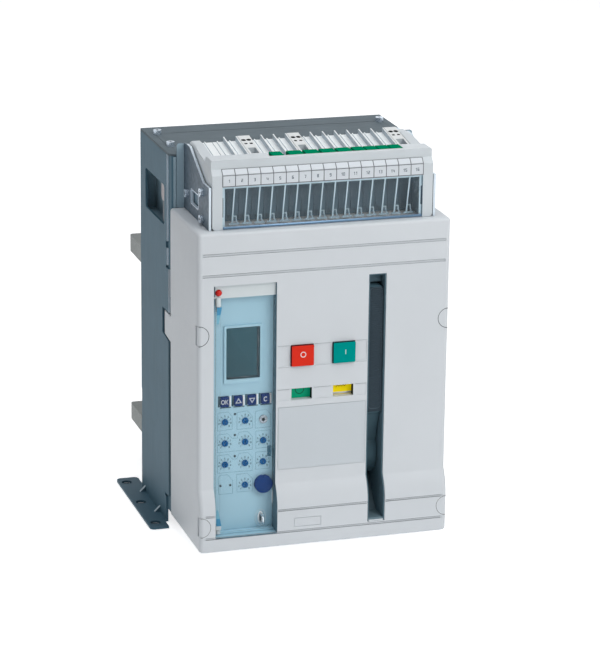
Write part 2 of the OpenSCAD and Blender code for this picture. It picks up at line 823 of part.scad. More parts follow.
// Arc chute boxes with a collar that rests on the casing
module arc_chutes() {
    vents = 7;
    vent_w = 3.5;
    vent_inset = 6;
    vent_pitch = (chute_len - 2 * vent_inset - vent_w) / (vents - 1);
    color("gainsboro") for (x = pole_x) difference() {
        union() {
            block([x - chute_w / 2, chute_y0, chute_z0], [x + chute_w / 2, chute_y0 + chute_len, chute_z1]);
            block([x - collar_w / 2, chute_y0 - 1, casing_top], [x + collar_w / 2,
                chute_y0 + chute_len + 1, casing_top + collar_h]);
        }
        block([x - chute_w / 2 + chute_wall, chute_y0 + chute_wall, chute_z0 - EPS],
            [x + chute_w / 2 - chute_wall, chute_y0 + chute_len - chute_wall, chute_z1 - chute_wall]);
        for (i = [0:vents - 1]) translate([x - chute_w / 2 + vent_inset,
            chute_y0 + vent_inset + vent_pitch * i, chute_z1 - chute_wall - EPS])
            cube([chute_w - 2 * vent_inset, vent_w, chute_wall + 2 * EPS]);
    }
}

// Steel splitter plates, each with a notch over the contacts
module splitter_plates() {
    pitch = (chute_len - 2 * chute_wall) / splitter_count;
    plate_w = chute_w - 2 * chute_wall - 2 * neck_gap;
    height = chute_z1 - chute_wall - neck_gap - chute_z0;
    color("gray") for (x = pole_x, i = [0:splitter_count - 1])
        translate([x, chute_y0 + chute_wall + pitch * (i + 0.5) + splitter_t / 2,
            chute_z0]) rotate([90, 0, 0])
            linear_extrude(splitter_t) polygon([[-plate_w / 2, 0], [-plate_w / 2 + 8, 0], [0, height * 0.4],
                [plate_w / 2 - 8, 0], [plate_w / 2, 0], [plate_w / 2, height], [-plate_w / 2, height]]);
}

// Ring cores round the lower terminals
module current_transformers() {
    core_w = rear_pocket_w - 1.5;
    core_t = 24;
    core_r = 4;
    rise = lower_z + terminal_t / 2 - casing_floor - neck_gap;
    core_y0 = pocket_y1 - core_t - 3;
    color("midnightblue") for (x = pole_x) difference() {
        panel(x - core_w / 2, casing_floor + neck_gap, core_w, 2 * rise, core_y0, core_t, core_r);
        block([x - neck_w / 2 - neck_gap, core_y0 - EPS, lower_z - neck_gap],
            [x + neck_w / 2 + neck_gap, core_y0 + core_t + EPS, lower_z + terminal_t + neck_gap]);
    }
}

// Two steel cheeks that carry the charging shaft and the pole shaft
module mechanism_cheeks() {
    color("lightslategray") for (x = [cheek_l_x, cheek_r_x]) difference() {
        along_x(x, x + cheek_t) polygon([[cheek_y0, axis_z - cheek_toe], [axis_y - 5, axis_z - cheek_low],
            [front_casing_y, axis_z - cheek_low], [front_casing_y, bridge_z + cheek_rise],
            [axis_y + cheek_brow, bridge_z + cheek_rise], [cheek_y0, bridge_z - 6]]);
        x_rod(x - EPS, x + cheek_t + EPS, axis_y, axis_z, charge_shaft_r + run_gap);
        x_rod(x - EPS, x + cheek_t + EPS, shaft_y, shaft_z, shaft_r + run_gap);
        along_x(x - EPS, x + cheek_t + EPS) translate([axis_y + hatch_back, bridge_z - hatch_back])
            round_rect(hatch_w, hatch_h, 5);
    }
}

// Bridge between the cheeks with two hanging guide rods
module spring_guides() {
    color("silver") {
        block([cheek_in_l, axis_y - bridge_half, bridge_z], [cheek_r_x, axis_y + bridge_half,
            bridge_z + bridge_t]);
        for (s = [-1, 1]) z_rod(yoke_z - cam_rise - 3, bridge_z + EPS, mech_x + s * spring_x, axis_y,
            guide_r);
    }
}

module closing_springs() {
    low = yoke_z + yoke_h + neck_gap;
    color("darkgray") for (s = [-1, 1]) translate([mech_x + s * spring_x, axis_y, low])
        coil(coil_r, coil_wire_d, bridge_z - neck_gap - low, coil_turns);
}

// Share of the flare that is left at a height between its two ends
function flare_left(t) = 1 - t * t;

// Levels of the cover's outer form: inset, height and front
function cover_levels() = concat(
    [for (a = [0:edge_step:90]) [cover_edge_r * (1 - sin(a)),
        cover_bottom + cover_edge_r * (1 - cos(a)), foot_y]],
    [for (k = [0:flare_steps]) let (t = k / flare_steps)
        [0, flare_low + (flare_high - flare_low) * t, front_y - flare * flare_left(t)]],
    [for (a = [0:edge_step:90]) [cover_edge_r * (1 - cos(a)), cover_top - cover_edge_r * (1 - sin(a)),
        front_y]]);

// Plan of the cover at one level, with round front corners
function cover_ring(level) = let (r = cover_r - level[0], x = half_w - cover_r,
    y = level[2] + cover_r) concat(
    [[-half_w + level[0], cover_y1, level[1]]],
    [for (a = [180:corner_step:270]) [-x + r * cos(a), y + r * sin(a), level[1]]],
    [for (a = [270:corner_step:360]) [x + r * cos(a), y + r * sin(a), level[1]]],
    [[half_w - level[0], cover_y1, level[1]]]);

// Outer form of the cover: a skirt, an S-shaped flare and the main body
module cover_form() {
    rings = [for (level = cover_levels()) cover_ring(level)];
    n = len(rings[0]);
    last = len(rings) - 1;
    walls = [for (k = [0:last - 1], i = [0:n - 1], half = [0, 1])
        let (p = k * n + i, q = k * n + (i + 1) % n)
        half == 0 ? [p, p + n, q + n] : [p, q + n, q]];
    underside = [for (i = [0:n - 1]) i];
    top_face = [for (i = [n - 1:-1:0]) last * n + i];
    polyhedron([for (ring = rings, point = ring) point], concat(walls, [underside, top_face]));
}

// Everything the cover leaves open behind its walls
module cover_inside() {
    inner = half_w - cover_wall;
    difference() {
        union() {
            block([-inner, front_y + cover_wall, cover_bottom + cover_wall], [inner, cover_y1 + EPS,
                cover_top - cover_wall]);
            block([-inner, foot_y + cover_wall, cover_bottom + cover_wall], [inner, cover_y1,
                flare_low - cover_wall]);
        }
        panel(unit_x0 - lip_t, unit_bottom - lip_t, unit_w + 2 * lip_t,
            unit_top - unit_bottom + 2 * lip_t, foot_y, unit_lip_y - foot_y);
        panel(slot_x0 - lip_t, slot_bottom - lip_t, slot_w + 2 * lip_t,
            slot_top - slot_bottom + 2 * lip_t, foot_y, slot_lip_y - foot_y);
        for (x = [off_cx, on_cx]) panel(x - flag_w / 2 - lip_t, flag_z - flag_h / 2 - lip_t,
            flag_w + 2 * lip_t, flag_h + 2 * lip_t, foot_y, flag_lip_y - foot_y);
        for (s = [-1, 1], p = [[plug_high_z, front_y], [plug_low_z, foot_y]])
            y_rod(p.y, p.y + boss_depth, s * (half_w - plug_inset), p.x, plug_r + slide_gap + boss_r);
    }
}

// Floor of the handle slot, which runs back and climbs under the hub
module handle_scoop() {
    along_x(well_x0 + fit_gap, well_x1 - fit_gap) polygon([[foot_y + collar_drop, slot_bottom - EPS],
        [foot_y + collar_drop, scoop_z - scoop_rise / 2], [foot_y + 3 * collar_drop, scoop_z],
            [scoop_y, scoop_z],
        [axis_y, scoop_top], [well_y1 - fit_gap, scoop_top], [well_y1 - fit_gap, slot_bottom + fit_gap],
        [slot_lip_y - fit_gap, slot_bottom + fit_gap], [slot_lip_y - fit_gap, slot_bottom - EPS]]);
}

// Shallow lines, bands and seats on the cover's face
module cover_relief() {
    run = body_w - 2 * cover_r;
    for (z = groove_z) panel(-run / 2, z - groove_h / 2, run, groove_h, front_y - EPS,
        groove_deep + EPS, 0.3);
    for (z = [skirt_z - groove_h, flare_low - groove_h])
        panel(-run / 2, z, run, groove_h, foot_y - EPS, groove_deep + EPS, 0.3);
    panel(panel_x0, button_z - button_h / 2, panel_x1 - panel_x0, button_h, front_y - EPS,
        band_deep + EPS, 0.3);
    panel(panel_x0, flag_z - flag_h / 2, panel_x1 - panel_x0, flag_h, front_y - EPS, band_deep + EPS, 0.3);
    panel(panel_x0, label_z, panel_x1 - panel_x0, label_h, front_y - EPS, band_deep + EPS, 0.3);
    difference() {
        translate([off_cx - knock_w / 2 + 4, 0, 0]) panel(0, skirt_z + 2.6, knock_w, knock_h,
            foot_y - EPS, groove_deep + EPS, 0.4);
        translate([off_cx - knock_w / 2 + 4, 0, 0]) panel(0.6, skirt_z + 3.2, knock_w - 1.2,
            knock_h - 1.2, foot_y - 2 * EPS, 4, 0.3);
    }
}

// Moulded front cover
module front_cover() {
    deep = cover_depth + flare;
    color("lightgray") {
        difference() {
            cover_form();
            cover_inside();
            cover_relief();
            panel(unit_x0, unit_bottom, unit_w, unit_top - unit_bottom, foot_y - EPS, deep);
            panel(slot_x0, slot_bottom, slot_w, slot_top - slot_bottom, foot_y - EPS, deep);
            for (x = [off_cx, on_cx]) {
                panel(x - button_w / 2 - button_gap, button_z - button_h / 2 - button_gap,
                    button_w + 2 * button_gap, button_h + 2 * button_gap, front_y - EPS,
                        cover_wall + 2 * EPS);
                panel(x - flag_w / 2, flag_z - flag_h / 2, flag_w, flag_h, front_y - EPS,
                    flag_deep + 2 * EPS);
            }
            for (s = [-1, 1], p = [[plug_high_z, front_y], [plug_low_z, foot_y]]) {
                y_rod(p.y - EPS, p.y + pocket_depth, s * (half_w - plug_inset), p.x, plug_r + slide_gap);
                y_rod(p.y, p.y + boss_depth + EPS, s * cover_screw_x, p.x, screw_r + fit_gap);
            }
        }
        both_sides() along_x(-half_w, -half_w + sheet_t) tab_outline(0, 0, 0);
        handle_scoop();
    }
}

// Round plugs that close the screw pockets and follow the cover's corners
module cover_plugs() {
    color("lightgray") intersection() {
        cover_form();
        for (s = [-1, 1], p = [[plug_high_z, front_y], [plug_low_z, foot_y]])
            y_rod(p.y - EPS, p.y + plug_t, s * (half_w - plug_inset), p.x, plug_r);
    }
}

// Dark well behind the handle slot, with a collar that lines the slot up to the cover's face
module handle_well() {
    collar_top = slot_top - fit_gap;
    collar_low = slot_bottom + fit_gap;
    front = [for (k = [flare_steps:-1:0]) let (t = k / flare_steps)
        [front_y - flare * flare_left(t) + collar_drop, flare_low + (flare_high - flare_low) * t]];
    color("darkslategray") difference() {
        union() {
            block([well_x0 - well_wall, slot_lip_y, slot_bottom - well_wall], [well_x1 + well_wall,
                well_y1 + well_wall, slot_top + well_wall]);
            along_x(slot_x0 + fit_gap, slot_x1 - fit_gap) polygon(concat([[slot_lip_y + EPS, collar_top],
                [front_y + collar_drop, collar_top]], front, [[foot_y + collar_drop, collar_low],
                [slot_lip_y + EPS, collar_low]]));
        }
        block([well_x0, foot_y - EPS, slot_bottom], [well_x1, well_y1, collar_top - collar_t]);
        x_rod(well_x0 - well_wall - EPS, well_x0 + EPS, axis_y, axis_z, charge_shaft_r + 1);
    }
}

// Case of the protection unit with its plain top band and hinge posts
module unit_case() {
    x0 = case_x0;
    w = case_x1 - case_x0;
    z0 = unit_bottom + fit_gap;
    color("whitesmoke") difference() {
        union() {
            block([x0, case_y, z0], [x0 + w, case_y1, unit_top - fit_gap]);
            panel(x0, band_z, w, unit_band_h - fit_gap, unit_y, case_y - unit_y + EPS);
            panel(x0, z0, w, unit_lip_h, unit_y, case_y - unit_y + EPS, 0.4);
            z_rod(high_post_z, band_z + EPS, hinge_x, hinge_y, barrel_r);
            z_rod(unit_lip_top - 0.5, low_post_top, hinge_x, hinge_y, barrel_r);
            z_rod(high_post_z - pin_len, band_z, hinge_x, hinge_y, hinge_pin_r);
            z_rod(unit_lip_top, low_post_top + pin_len, hinge_x, hinge_y, hinge_pin_r);
        }
        block([x0 + unit_wall, case_y - EPS, z0 + unit_wall], [x0 + w - unit_wall, case_y1 - unit_wall,
            band_z - unit_wall]);
        y_rod(unit_y - EPS, case_y + 6, reset_x, reset_z, reset_r + slide_gap);
    }
}

// Light blue fascia with openings for the keys, dials and knob
module unit_fascia() {
    z0 = unit_lip_top + fit_gap;
    color("lightblue") difference() {
        panel(case_x0, z0, case_x1 - case_x0, band_z - fit_gap - z0, fascia_y, fascia_t, 0.4);
        for (i = [0:3]) panel(key_cx(i) - key_w / 2 - fit_gap, key_z - key_h / 2 - fit_gap,
            key_w + 2 * fit_gap, key_h + 2 * fit_gap, fascia_y - EPS, fascia_t + 2 * EPS, 0.4);
        for (d = dial_at) y_rod(fascia_y - EPS, case_y + EPS, dial_cols[d.x], dial_rows[d.y],
            dial_r + run_gap);
        y_rod(fascia_y - EPS, case_y + EPS, dial_cols[2], dial_rows[3], knob_shaft_r + run_gap);
        y_rod(fascia_y - EPS, case_y + EPS, dial_cols[2], dial_rows[0], socket_r - 1);
    }
}

function key_cx(i) = key_x + i * key_pitch - half_w;

// Display frame with a sunk screen
module lcd_display() {
    border = 1.8;
    color("darkcyan") difference() {
        panel(lcd_x, lcd_z, lcd_w, lcd_h, fascia_y - 1.5, 1.5, 1);
        panel(lcd_x + border, lcd_z + 2 * border, lcd_w - 2 * border, lcd_h - 3 * border, fascia_y - 3,
            2.2, 0.6);
    }
}

module test_socket() {
    color("dimgray") difference() {
        union() {
            y_rod(fascia_y - 1, fascia_y, dial_cols[2], dial_rows[0], socket_r);
            y_rod(fascia_y - 0.5, case_y + 4, dial_cols[2], dial_rows[0], socket_r - 1 - fit_gap);
        }
        y_rod(fascia_y - 2, case_y + 2, dial_cols[2], dial_rows[0], 1.4);
    }
}

// Wire staple that stands through the clear cover for a lead seal
module seal_loop() {
    loop_y = unit_y - seal_proud + seal_bend_r;
    color("silver") {
        for (s = [-1, 1]) y_rod(loop_y, fascia_y, seal_x, seal_z + s * seal_bend_r, seal_wire_d / 2);
        translate([seal_x, loop_y, seal_z]) rotate([0, -90, 0]) rotate([0, 0, 180])
            rotate_extrude(angle = 180) translate([seal_bend_r, 0]) circle(seal_wire_d / 2);
    }
}

// Galvanised brackets that carry the terminal block on the side plates
module terminal_brackets() {
    rise = beam_top - 1;
    color("lightsteelblue") both_sides() difference() {
        union() {
            along_x(-bracket_x - sheet_t, -bracket_x) polygon([[block_y + 0.5, block_z],
                [block_y + 0.5, beam_z],
                [block_y + 19, beam_z], [block_y + 60, rise], [block_y + 70, rise], [plate_y0,
                    rise - 1.2], [plate_y0, block_z]]);
            panel(-bracket_x - bracket_flange - sheet_t, block_z, bracket_flange + sheet_t,
                rise - 1.2 - block_z, plate_y0 - sheet_t, sheet_t, 2);
        }
        for (p = bracket_screws) x_rod(-bracket_x - sheet_t - EPS, -bracket_x + EPS, p.x, p.y,
            screw_r + fit_gap);
        along_x(-bracket_x - sheet_t - EPS, -bracket_x + EPS) translate([block_y + 32,
            block_z + 10]) round_rect(23, 11, 1);
    }
}

// Outline of the beam and posts in Y and Z
function beam_face() = [[block_y, beam_z], [block_y, beam_z + label_face_h],
    [block_y + label_step, beam_z + label_face_h + label_bevel], [block_y + label_step, beam_top]];

// Frame of the terminal block: two end posts and the label beam between them
module terminal_housing() {
    post_x = cells_w / 2;
    inner = [for (p = beam_face()) p + [beam_t, p.y == beam_top ? -beam_t : 0]];
    color("gainsboro") difference() {
        intersection() {
            union() {
                along_x(-block_half, block_half) polygon(concat(beam_face(),
                    [[beam_y1, beam_top], [beam_y1, beam_top - beam_t]], [for (i = [3:-1:0]) inner[i]]));
                both_sides() along_x(-block_half, -post_x) polygon(concat([[block_y, block_z]], beam_face(),
                    [[beam_y1, beam_top], [beam_y1 + 1, module_z0 + module_front_h], [module_y1,
                        module_z0 + module_rear_h],
                    [module_y1, module_z0 + fit_gap], [tray_y - fit_gap, module_z0 + fit_gap],
                        [tray_y - fit_gap, block_z]]));
            }
            panel(-block_half, block_z, block_w, beam_top - block_z + EPS, block_y, module_y1 - block_y, 3);
        }
        block([connector_ends[0] * module_pitch, connector_y - fit_gap, beam_top - beam_t - EPS],
            [connector_ends[1] * module_pitch, beam_y1 + EPS, beam_top + EPS]);
        both_sides() {
            block([-post_x - 2, block_y + 1, block_z + 9], [-post_x + EPS, block_y + 5, block_z + 25]);
            for (p = bracket_screws) x_rod(-bracket_x - EPS, -bracket_x + 6, p.x, p.y, screw_r + fit_gap);
        }
    }
}

// Bent sheet behind the wiring channels and under the modules
module terminal_tray() {
    color("slategray") difference() {
        union() {
            block([-block_half, tray_y, block_z], [block_half, tray_y + sheet_t, shelf_z + sheet_t]);
            block([-block_half, tray_y, shelf_z], [block_half, module_y1, shelf_z + sheet_t]);
            block([-cells_w / 2 + fit_gap, beam_y1, shelf_z], [cells_w / 2 - fit_gap, tray_y + EPS,
                shelf_z + sheet_t]);
            both_sides() block([-block_half, tray_y, block_z + 8], [-block_half + sheet_t, module_y1,
                shelf_z + sheet_t]);
        }
        both_sides() x_rod(-bracket_x - EPS, -bracket_x + 6, bracket_screws[0].x, bracket_screws[0].y,
            screw_r + fit_gap);
    }
}

function module_x(i) = cells_x0 + i * module_pitch;
function is_plug(i) = len([for (p = plug_slots) if (p == i) p]) > 0;

// Side outline of one terminal module, raised by a ridge height
module module_outline(rise) {
    z0 = module_z0 + fit_gap;
    polygon([[module_y0, z0], [module_y0, module_z0 + module_front_h + rise],
        [module_y1, module_z0 + module_rear_h + rise], [module_y1, z0]]);
}

// Ridged terminal modules
module terminal_modules() {
    color("gainsboro") for (i = [0:module_count - 1]) if (!is_plug(i)) {
        x = module_x(i);
        x1 = x + module_pitch - module_gap / 2;
        along_x(x + module_gap / 2, x1) module_outline(-ridge_h);
        along_x(x + rib_x * module_pitch, x + rib_x * module_pitch + ridge_t)
            module_outline(rib_h - ridge_h);
        if (i > 0) along_x(x1 - ridge_t, x1) module_outline(0);
    }
}

// Plug modules with pairs of round test holes, two small square holes and a window
module terminal_plugs() {
    hole_r = 2;
    hole_x = 2.2;
    hole_d = [3.5, 36.5];
    square_w = 2.4;
    square_d = 28;
    window_w = 6.4;
    window_d = [9, 20.5];
    sunk = 6;
    color("white") for (i = [0:module_count - 1]) if (is_plug(i)) translate([module_x(i)
        + module_pitch / 2, 0, 0])
        difference() {
            along_x(-module_pitch / 2 + module_gap / 2,
                module_pitch / 2 - module_gap / 2) module_outline(0);
            translate([0, module_y0, module_z0 + module_front_h - sunk]) {
                for (d = hole_d, s = [-1, 1]) translate([s * hole_x, d, 0]) cylinder(r = hole_r,
                    h = module_rear_h);
                for (s = [-1, 1]) translate([s * hole_x - square_w / 2, square_d, 0])
                    cube([square_w, square_w, module_rear_h]);
                translate([-window_w / 2, window_d[0], 0]) cube([window_w, window_d[1] - window_d[0],
                    module_rear_h]);
            }
        }
}

// Green plug-in connectors in the beam's rear edge, placed in steps of the module pitch
module green_connectors() {
    color("seagreen") for (i = [0:len(connector_x) - 1])
        block([connector_x[i] * module_pitch, connector_y, beam_top - connector_h],
            [(connector_x[i] + connector_w[i]) * module_pitch, beam_y1 + 1, beam_top + connector_proud]);
}

// Clear dividers between the wiring channels
module channel_dividers() {
    lean = 8;
    y0 = block_y + wiring_cover_t + 1;
    y1 = tray_y - fit_gap;
    color("lightcyan") for (i = [1:module_count - 1]) {
        x = module_x(i) - divider_t / 2;
        along_x(x, x + divider_t) polygon([[y0, beam_z - fit_gap], [y1, beam_z - fit_gap], [y1,
            block_z + 1], [y0 + lean, block_z + 1]]);
        block([x - 2, y1 - 8, block_z + 1], [x + divider_t + 2, y1, block_z + 5]);
    }
}

// Clear cover over the wiring channels, clipped into the posts
module terminal_cover() {
    half = cells_w / 2 - fit_gap;
    color("azure") {
        panel(-half, block_z + fit_gap, 2 * half, wiring_h - 2 * fit_gap, block_y + 0.6,
            wiring_cover_t, 0.4);
        panel(-half, block_z + fit_gap, 2 * half, 2.4, block_y + 0.6, 4, 0.4);
        both_sides() block([-half - 1.4, block_y + 1.8, block_z + 10], [-half + 3, block_y + 3.4,
            block_z + 24]);
    }
}

// Pole shaft with a forked crank at each pole
module pole_shaft() {
    turned = [arm.x * cos(open_angle) - arm.y * sin(open_angle),
        arm.x * sin(open_angle) + arm.y * cos(open_angle)];
    centre = [shaft_y, shaft_z];
    inner = link_w / 2 + fork_gap;
    color("steelblue") {
        x_rod(-casing_w / 2 + 6, casing_w / 2 - 6, shaft_y, shaft_z, shaft_r);
        for (x = pole_x) {
            for (s = [x - inner - fork_t, x + inner]) along_x(s, s + fork_t) {
                link_bar(centre, centre + turned, 8, 13);
                translate(centre) circle(fork_hub_r);
            }
            x_rod(x - inner - EPS, x + inner + EPS, centre.x + turned.x, centre.y + turned.y, link_pin_r);
        }
    }
}

// Contact fingers, drawn closed and then swung open
module moving_contacts() {
    color("peru") opened() for (x = pole_x, i = [-1.5:1:1.5]) {
        x0 = x + i * finger_pitch - finger_w / 2;
        along_x(x0, x0 + finger_w) {
            translate([finger_y, pivot_z + 10]) square([finger_t, finger_top - pivot_z - 10]);
            translate([finger_y + finger_t - EPS, finger_top - 15]) square([tip_t + EPS, 15]);
        }
    }
}

// Insulating carriers that hold the fingers and take the drive links
module contact_carriers() {
    inner = link_w / 2 + fork_gap;
    pin = [pivot_y + arm.x, pivot_z + arm.y];
    plate_y = finger_y - fit_gap;
    color("saddlebrown") opened() for (x = pole_x) difference() {
        union() {
            along_x(x - carrier_w / 2, x + carrier_w / 2) {
                translate([pivot_y, pivot_z]) circle(9);
                translate([plate_y - 7.5, pivot_z]) square([7.5, carrier_top - pivot_z]);
            }
            for (s = [x - inner - fork_t, x + inner]) along_x(s, s + fork_t) {
                translate(pin) circle(7);
                translate([pin.x, pin.y - 7]) square([plate_y - 4 - pin.x, 14]);
            }
            x_rod(x - inner - EPS, x + inner + EPS, pin.x, pin.y, link_pin_r);
        }
        x_rod(x - carrier_w, x + carrier_w, pivot_y, pivot_z, pivot_r + run_gap);
    }
}

// Parallel links from the cranks to the carriers
module drive_links() {
    turned = [arm.x * cos(open_angle) - arm.y * sin(open_angle),
        arm.x * sin(open_angle) + arm.y * cos(open_angle)];
    a = [shaft_y, shaft_z] + turned;
    b = [pivot_y, pivot_z] + turned;
    color("darkorange") for (x = pole_x) along_x(x - link_w / 2, x + link_w / 2) difference() {
        link_bar(a, b, 7.5, 9);
        translate(a) circle(link_pin_r + run_gap);
        translate(b) circle(link_pin_r + run_gap);
    }
}

// Radius of the snail cam at an angle behind its nose
function cam_r(a) = a < cam_sweep ? cam_low_r + cam_rise * (1 - a / cam_sweep) :
    a < cam_back ? cam_low_r : cam_low_r + cam_rise * min(1, (a - cam_back) / cam_ramp);

// Charging shaft with its snail cam and ratchet wheel
module charging_shaft() {
    step = 360 / ratchet_teeth;
    ratchet_x = cheek_r_x - 1 - ratchet_w;
    color("slategray") {
        x_rod(cheek_l_x - 2, handle_x + hub_w, axis_y, axis_z, charge_shaft_r);
        along_x(mech_x - cam_w / 2, mech_x + cam_w / 2) translate([axis_y, axis_z])
            polygon([for (a = [0:6:354]) cam_r(a) * [sin(a), cos(a)]]);
        along_x(ratchet_x, ratchet_x + ratchet_w) translate([axis_y, axis_z])
            polygon([for (i = [0:ratchet_teeth - 1], k = [0, 1])
                let (a = i * step + (k == 0 ? 0 : step * 0.15)) (ratchet_r - (k == 0 ? tooth_h : 0))
                    * [cos(a), sin(a)]]);
    }
}

// Crossbar that the cam lifts along the guide rods
module spring_yoke() {
    color("darkkhaki") difference() {
        union() {
            block([mech_x - spring_x - yoke_half, axis_y - yoke_half, yoke_z],
                [mech_x + spring_x + yoke_half, axis_y + yoke_half, yoke_z + yoke_h]);
            block([mech_x - cam_w / 2, axis_y - 3, roller_z], [mech_x + cam_w / 2, axis_y + 3,
                yoke_z + EPS]);
            x_rod(mech_x - cam_w / 2, mech_x + cam_w / 2, axis_y, roller_z, roller_r);
        }
        for (s = [-1, 1]) z_rod(yoke_z - EPS, yoke_z + yoke_h + EPS, mech_x + s * spring_x, axis_y,
            guide_r + run_gap);
    }
}

// Charging handle: a round hub on the left and a full-width grip that stands in the slot
module charge_handle() {
    color("darkslategray") difference() {
        union() {
            along_x(handle_x, handle_x + hub_w) {
                translate([axis_y, axis_z]) circle(hub_r);
                polygon([[axis_y - hub_r + 3, axis_z + 11], [grip_y + 3, grip_bottom + 6],
                    [grip_y + grip_t, grip_bottom + 6], [axis_y + 13, axis_z + 18]]);
            }
            intersection() {
                along_x(handle_x, handle_x + handle_w) translate([grip_y, grip_bottom])
                    round_rect(grip_t, grip_top - grip_bottom, grip_r);
                panel(handle_x, grip_bottom, handle_w, grip_top - grip_bottom, grip_y - EPS,
                    grip_t + 2 * EPS, grip_edge_r);
            }
        }
        x_rod(slot_x0 - EPS, slot_x1 - 1.2, axis_y, axis_z, charge_shaft_r + run_gap);
    }
}

// Push button with a stop flange and a stem behind the cover
module push_button(x) {
    flange_y = front_y + cover_wall + slide_gap;
    brim = button_gap + 1.5;
    cap_y = front_y - button_proud;
    panel(x - button_w / 2, button_z - button_h / 2, button_w, button_h, cap_y, flange_y + EPS - cap_y,
        0.8);
    panel(x - button_w / 2 - brim, button_z - button_h / 2 - brim, button_w + 2 * brim,
        button_h + 2 * brim, flange_y, 2);
    y_rod(flange_y, flange_y + 10, x, button_z, 3);
}

module off_button() {
    color("red") push_button(off_cx);
}

module on_button() {
    color("teal") push_button(on_cx);
}

// Indicator flag: the half behind the window shows at rest, the other half when it drops
module indicator_flag(x) {
    panel(x - flag_w / 2 - 1.4, flag_z - flag_h / 2 - 1, flag_w + 2.8, flag_h + 2 + flag_travel,
        flag_y, flag_t, 0.5);
    block([x - 2, flag_y + 0.4, flag_z + flag_h / 2 + 3], [x + 2, flag_y + 12, flag_z + flag_h / 2 + 6]);
}

module status_flag() {
    color("mediumseagreen") indicator_flag(off_cx);
}

module charge_flag() {
    color("gold") indicator_flag(on_cx);
}

// Reset button with a domed end
module reset_button() {
    color("firebrick") {
        y_rod(unit_y - 0.6, case_y + 4, reset_x, reset_z, reset_r);
        translate([reset_x, unit_y, reset_z]) sphere(reset_r - 0.2);
    }
}

// Hinged clear cover of the unit, with a seal opening and a finger notch
module unit_cover() {
    low = low_post_top + slide_gap;
    high = high_post_z - slide_gap;
    color("powderblue") difference() {
        union() {
            panel(clear_x0, clear_z0, clear_x1 - clear_x0, clear_z1 - clear_z0, unit_y, clear_t, 0.6);
            panel(hinge_x, low, clear_x0 - hinge_x + EPS, high - low, unit_y, clear_t, 0.4);
            z_rod(low, high, hinge_x, hinge_y, barrel_r);
            y_rod(unit_y - 0.6, unit_y + 0.6, seal_x, seal_z, 7);
        }
        for (z = [low - EPS, high - pin_len - slide_gap]) z_rod(z, z + pin_len + slide_gap + EPS,
            hinge_x, hinge_y, hinge_pin_r + run_gap);
        panel(seal_x - seal_slot_w / 2, seal_z - seal_bend_r - 2, seal_slot_w, 2 * seal_bend_r + 4,
            unit_y - EPS, clear_t + 2 * EPS, 1.6);
        panel(clear_x1 - 2.4, 87, 4, 9, unit_y - EPS, clear_t + 2 * EPS, 0.6);
    }
}

// Key cap with a stop flange behind the fascia
module key(i) {
    color("navy") {
        panel(key_cx(i) - key_w / 2, key_z - key_h / 2, key_w, key_h, fascia_y - 2,
            fascia_t + 2 + slide_gap + 0.5, 0.8);
        panel(key_cx(i) - key_w / 2 - 0.9, key_z - key_h / 2 - 0.9, key_w + 1.8, key_h + 1.8,
            case_y + slide_gap, 1.2, 0.8);
    }
}

// Setting dial with a screwdriver slot
module dial(i) {
    at = dial_at[i - 1];
    x = dial_cols[at.x];
    z = dial_rows[at.y];
    color("royalblue") difference() {
        y_rod(fascia_y - dial_proud, fascia_y - dial_proud + dial_len, x, z, dial_r);
        block([x - 0.4, fascia_y - 2 * dial_proud, z - dial_r - EPS], [x + 0.4,
            fascia_y - dial_proud / 3, z + dial_r + EPS]);
    }
}

// Round lock knob with an index notch in its rim
module lock_knob() {
    x = dial_cols[2];
    z = dial_rows[3];
    index_r = 0.8;
    color("darkblue") difference() {
        union() {
            y_rod(fascia_y - knob_h, fascia_y - slide_gap, x, z, knob_r);
            y_rod(fascia_y - EPS, case_y + 3, x, z, knob_shaft_r);
        }
        y_rod(fascia_y - knob_h - EPS, fascia_y, x, z + knob_r, index_r);
    }
}

left_side_plate();
right_side_plate();
top_plate();
frame_screws();
pole_casing();
pole_front_casing();
upper_terminals();
lower_terminals();
fixed_contacts();
contact_pivots();
contact_braids();
arc_chutes();
splitter_plates();
current_transformers();
mechanism_cheeks();
spring_guides();
closing_springs();
front_cover();
cover_plugs();
handle_well();
unit_case();
unit_fascia();
lcd_display();
test_socket();
seal_loop();
terminal_brackets();
terminal_housing();
terminal_tray();
terminal_modules();
terminal_plugs();
green_connectors();
channel_dividers();
terminal_cover();
pole_shaft();
moving_contacts();
contact_carriers();
drive_links();
charging_shaft();
spring_yoke();
charge_handle();
off_button();
on_button();
status_flag();
charge_flag();
reset_button();
unit_cover();
key(0);  // key_ok
key(1);  // key_up
key(2);  // key_down
key(3);  // key_clear
dial(1);  // dial_1
dial(2);  // dial_2
dial(3);  // dial_3
dial(4);  // dial_4
dial(5);  // dial_5
dial(6);  // dial_6
dial(7);  // dial_7
dial(8);  // dial_8
dial(9);  // dial_9
lock_knob();
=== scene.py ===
"""Looks of the air circuit breaker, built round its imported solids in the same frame.

The frame is in metres with the front towards -Y. Sizes and places below are in millimetres.
"""
import json
import math

import bmesh
import bpy
from mathutils import Matrix, Vector


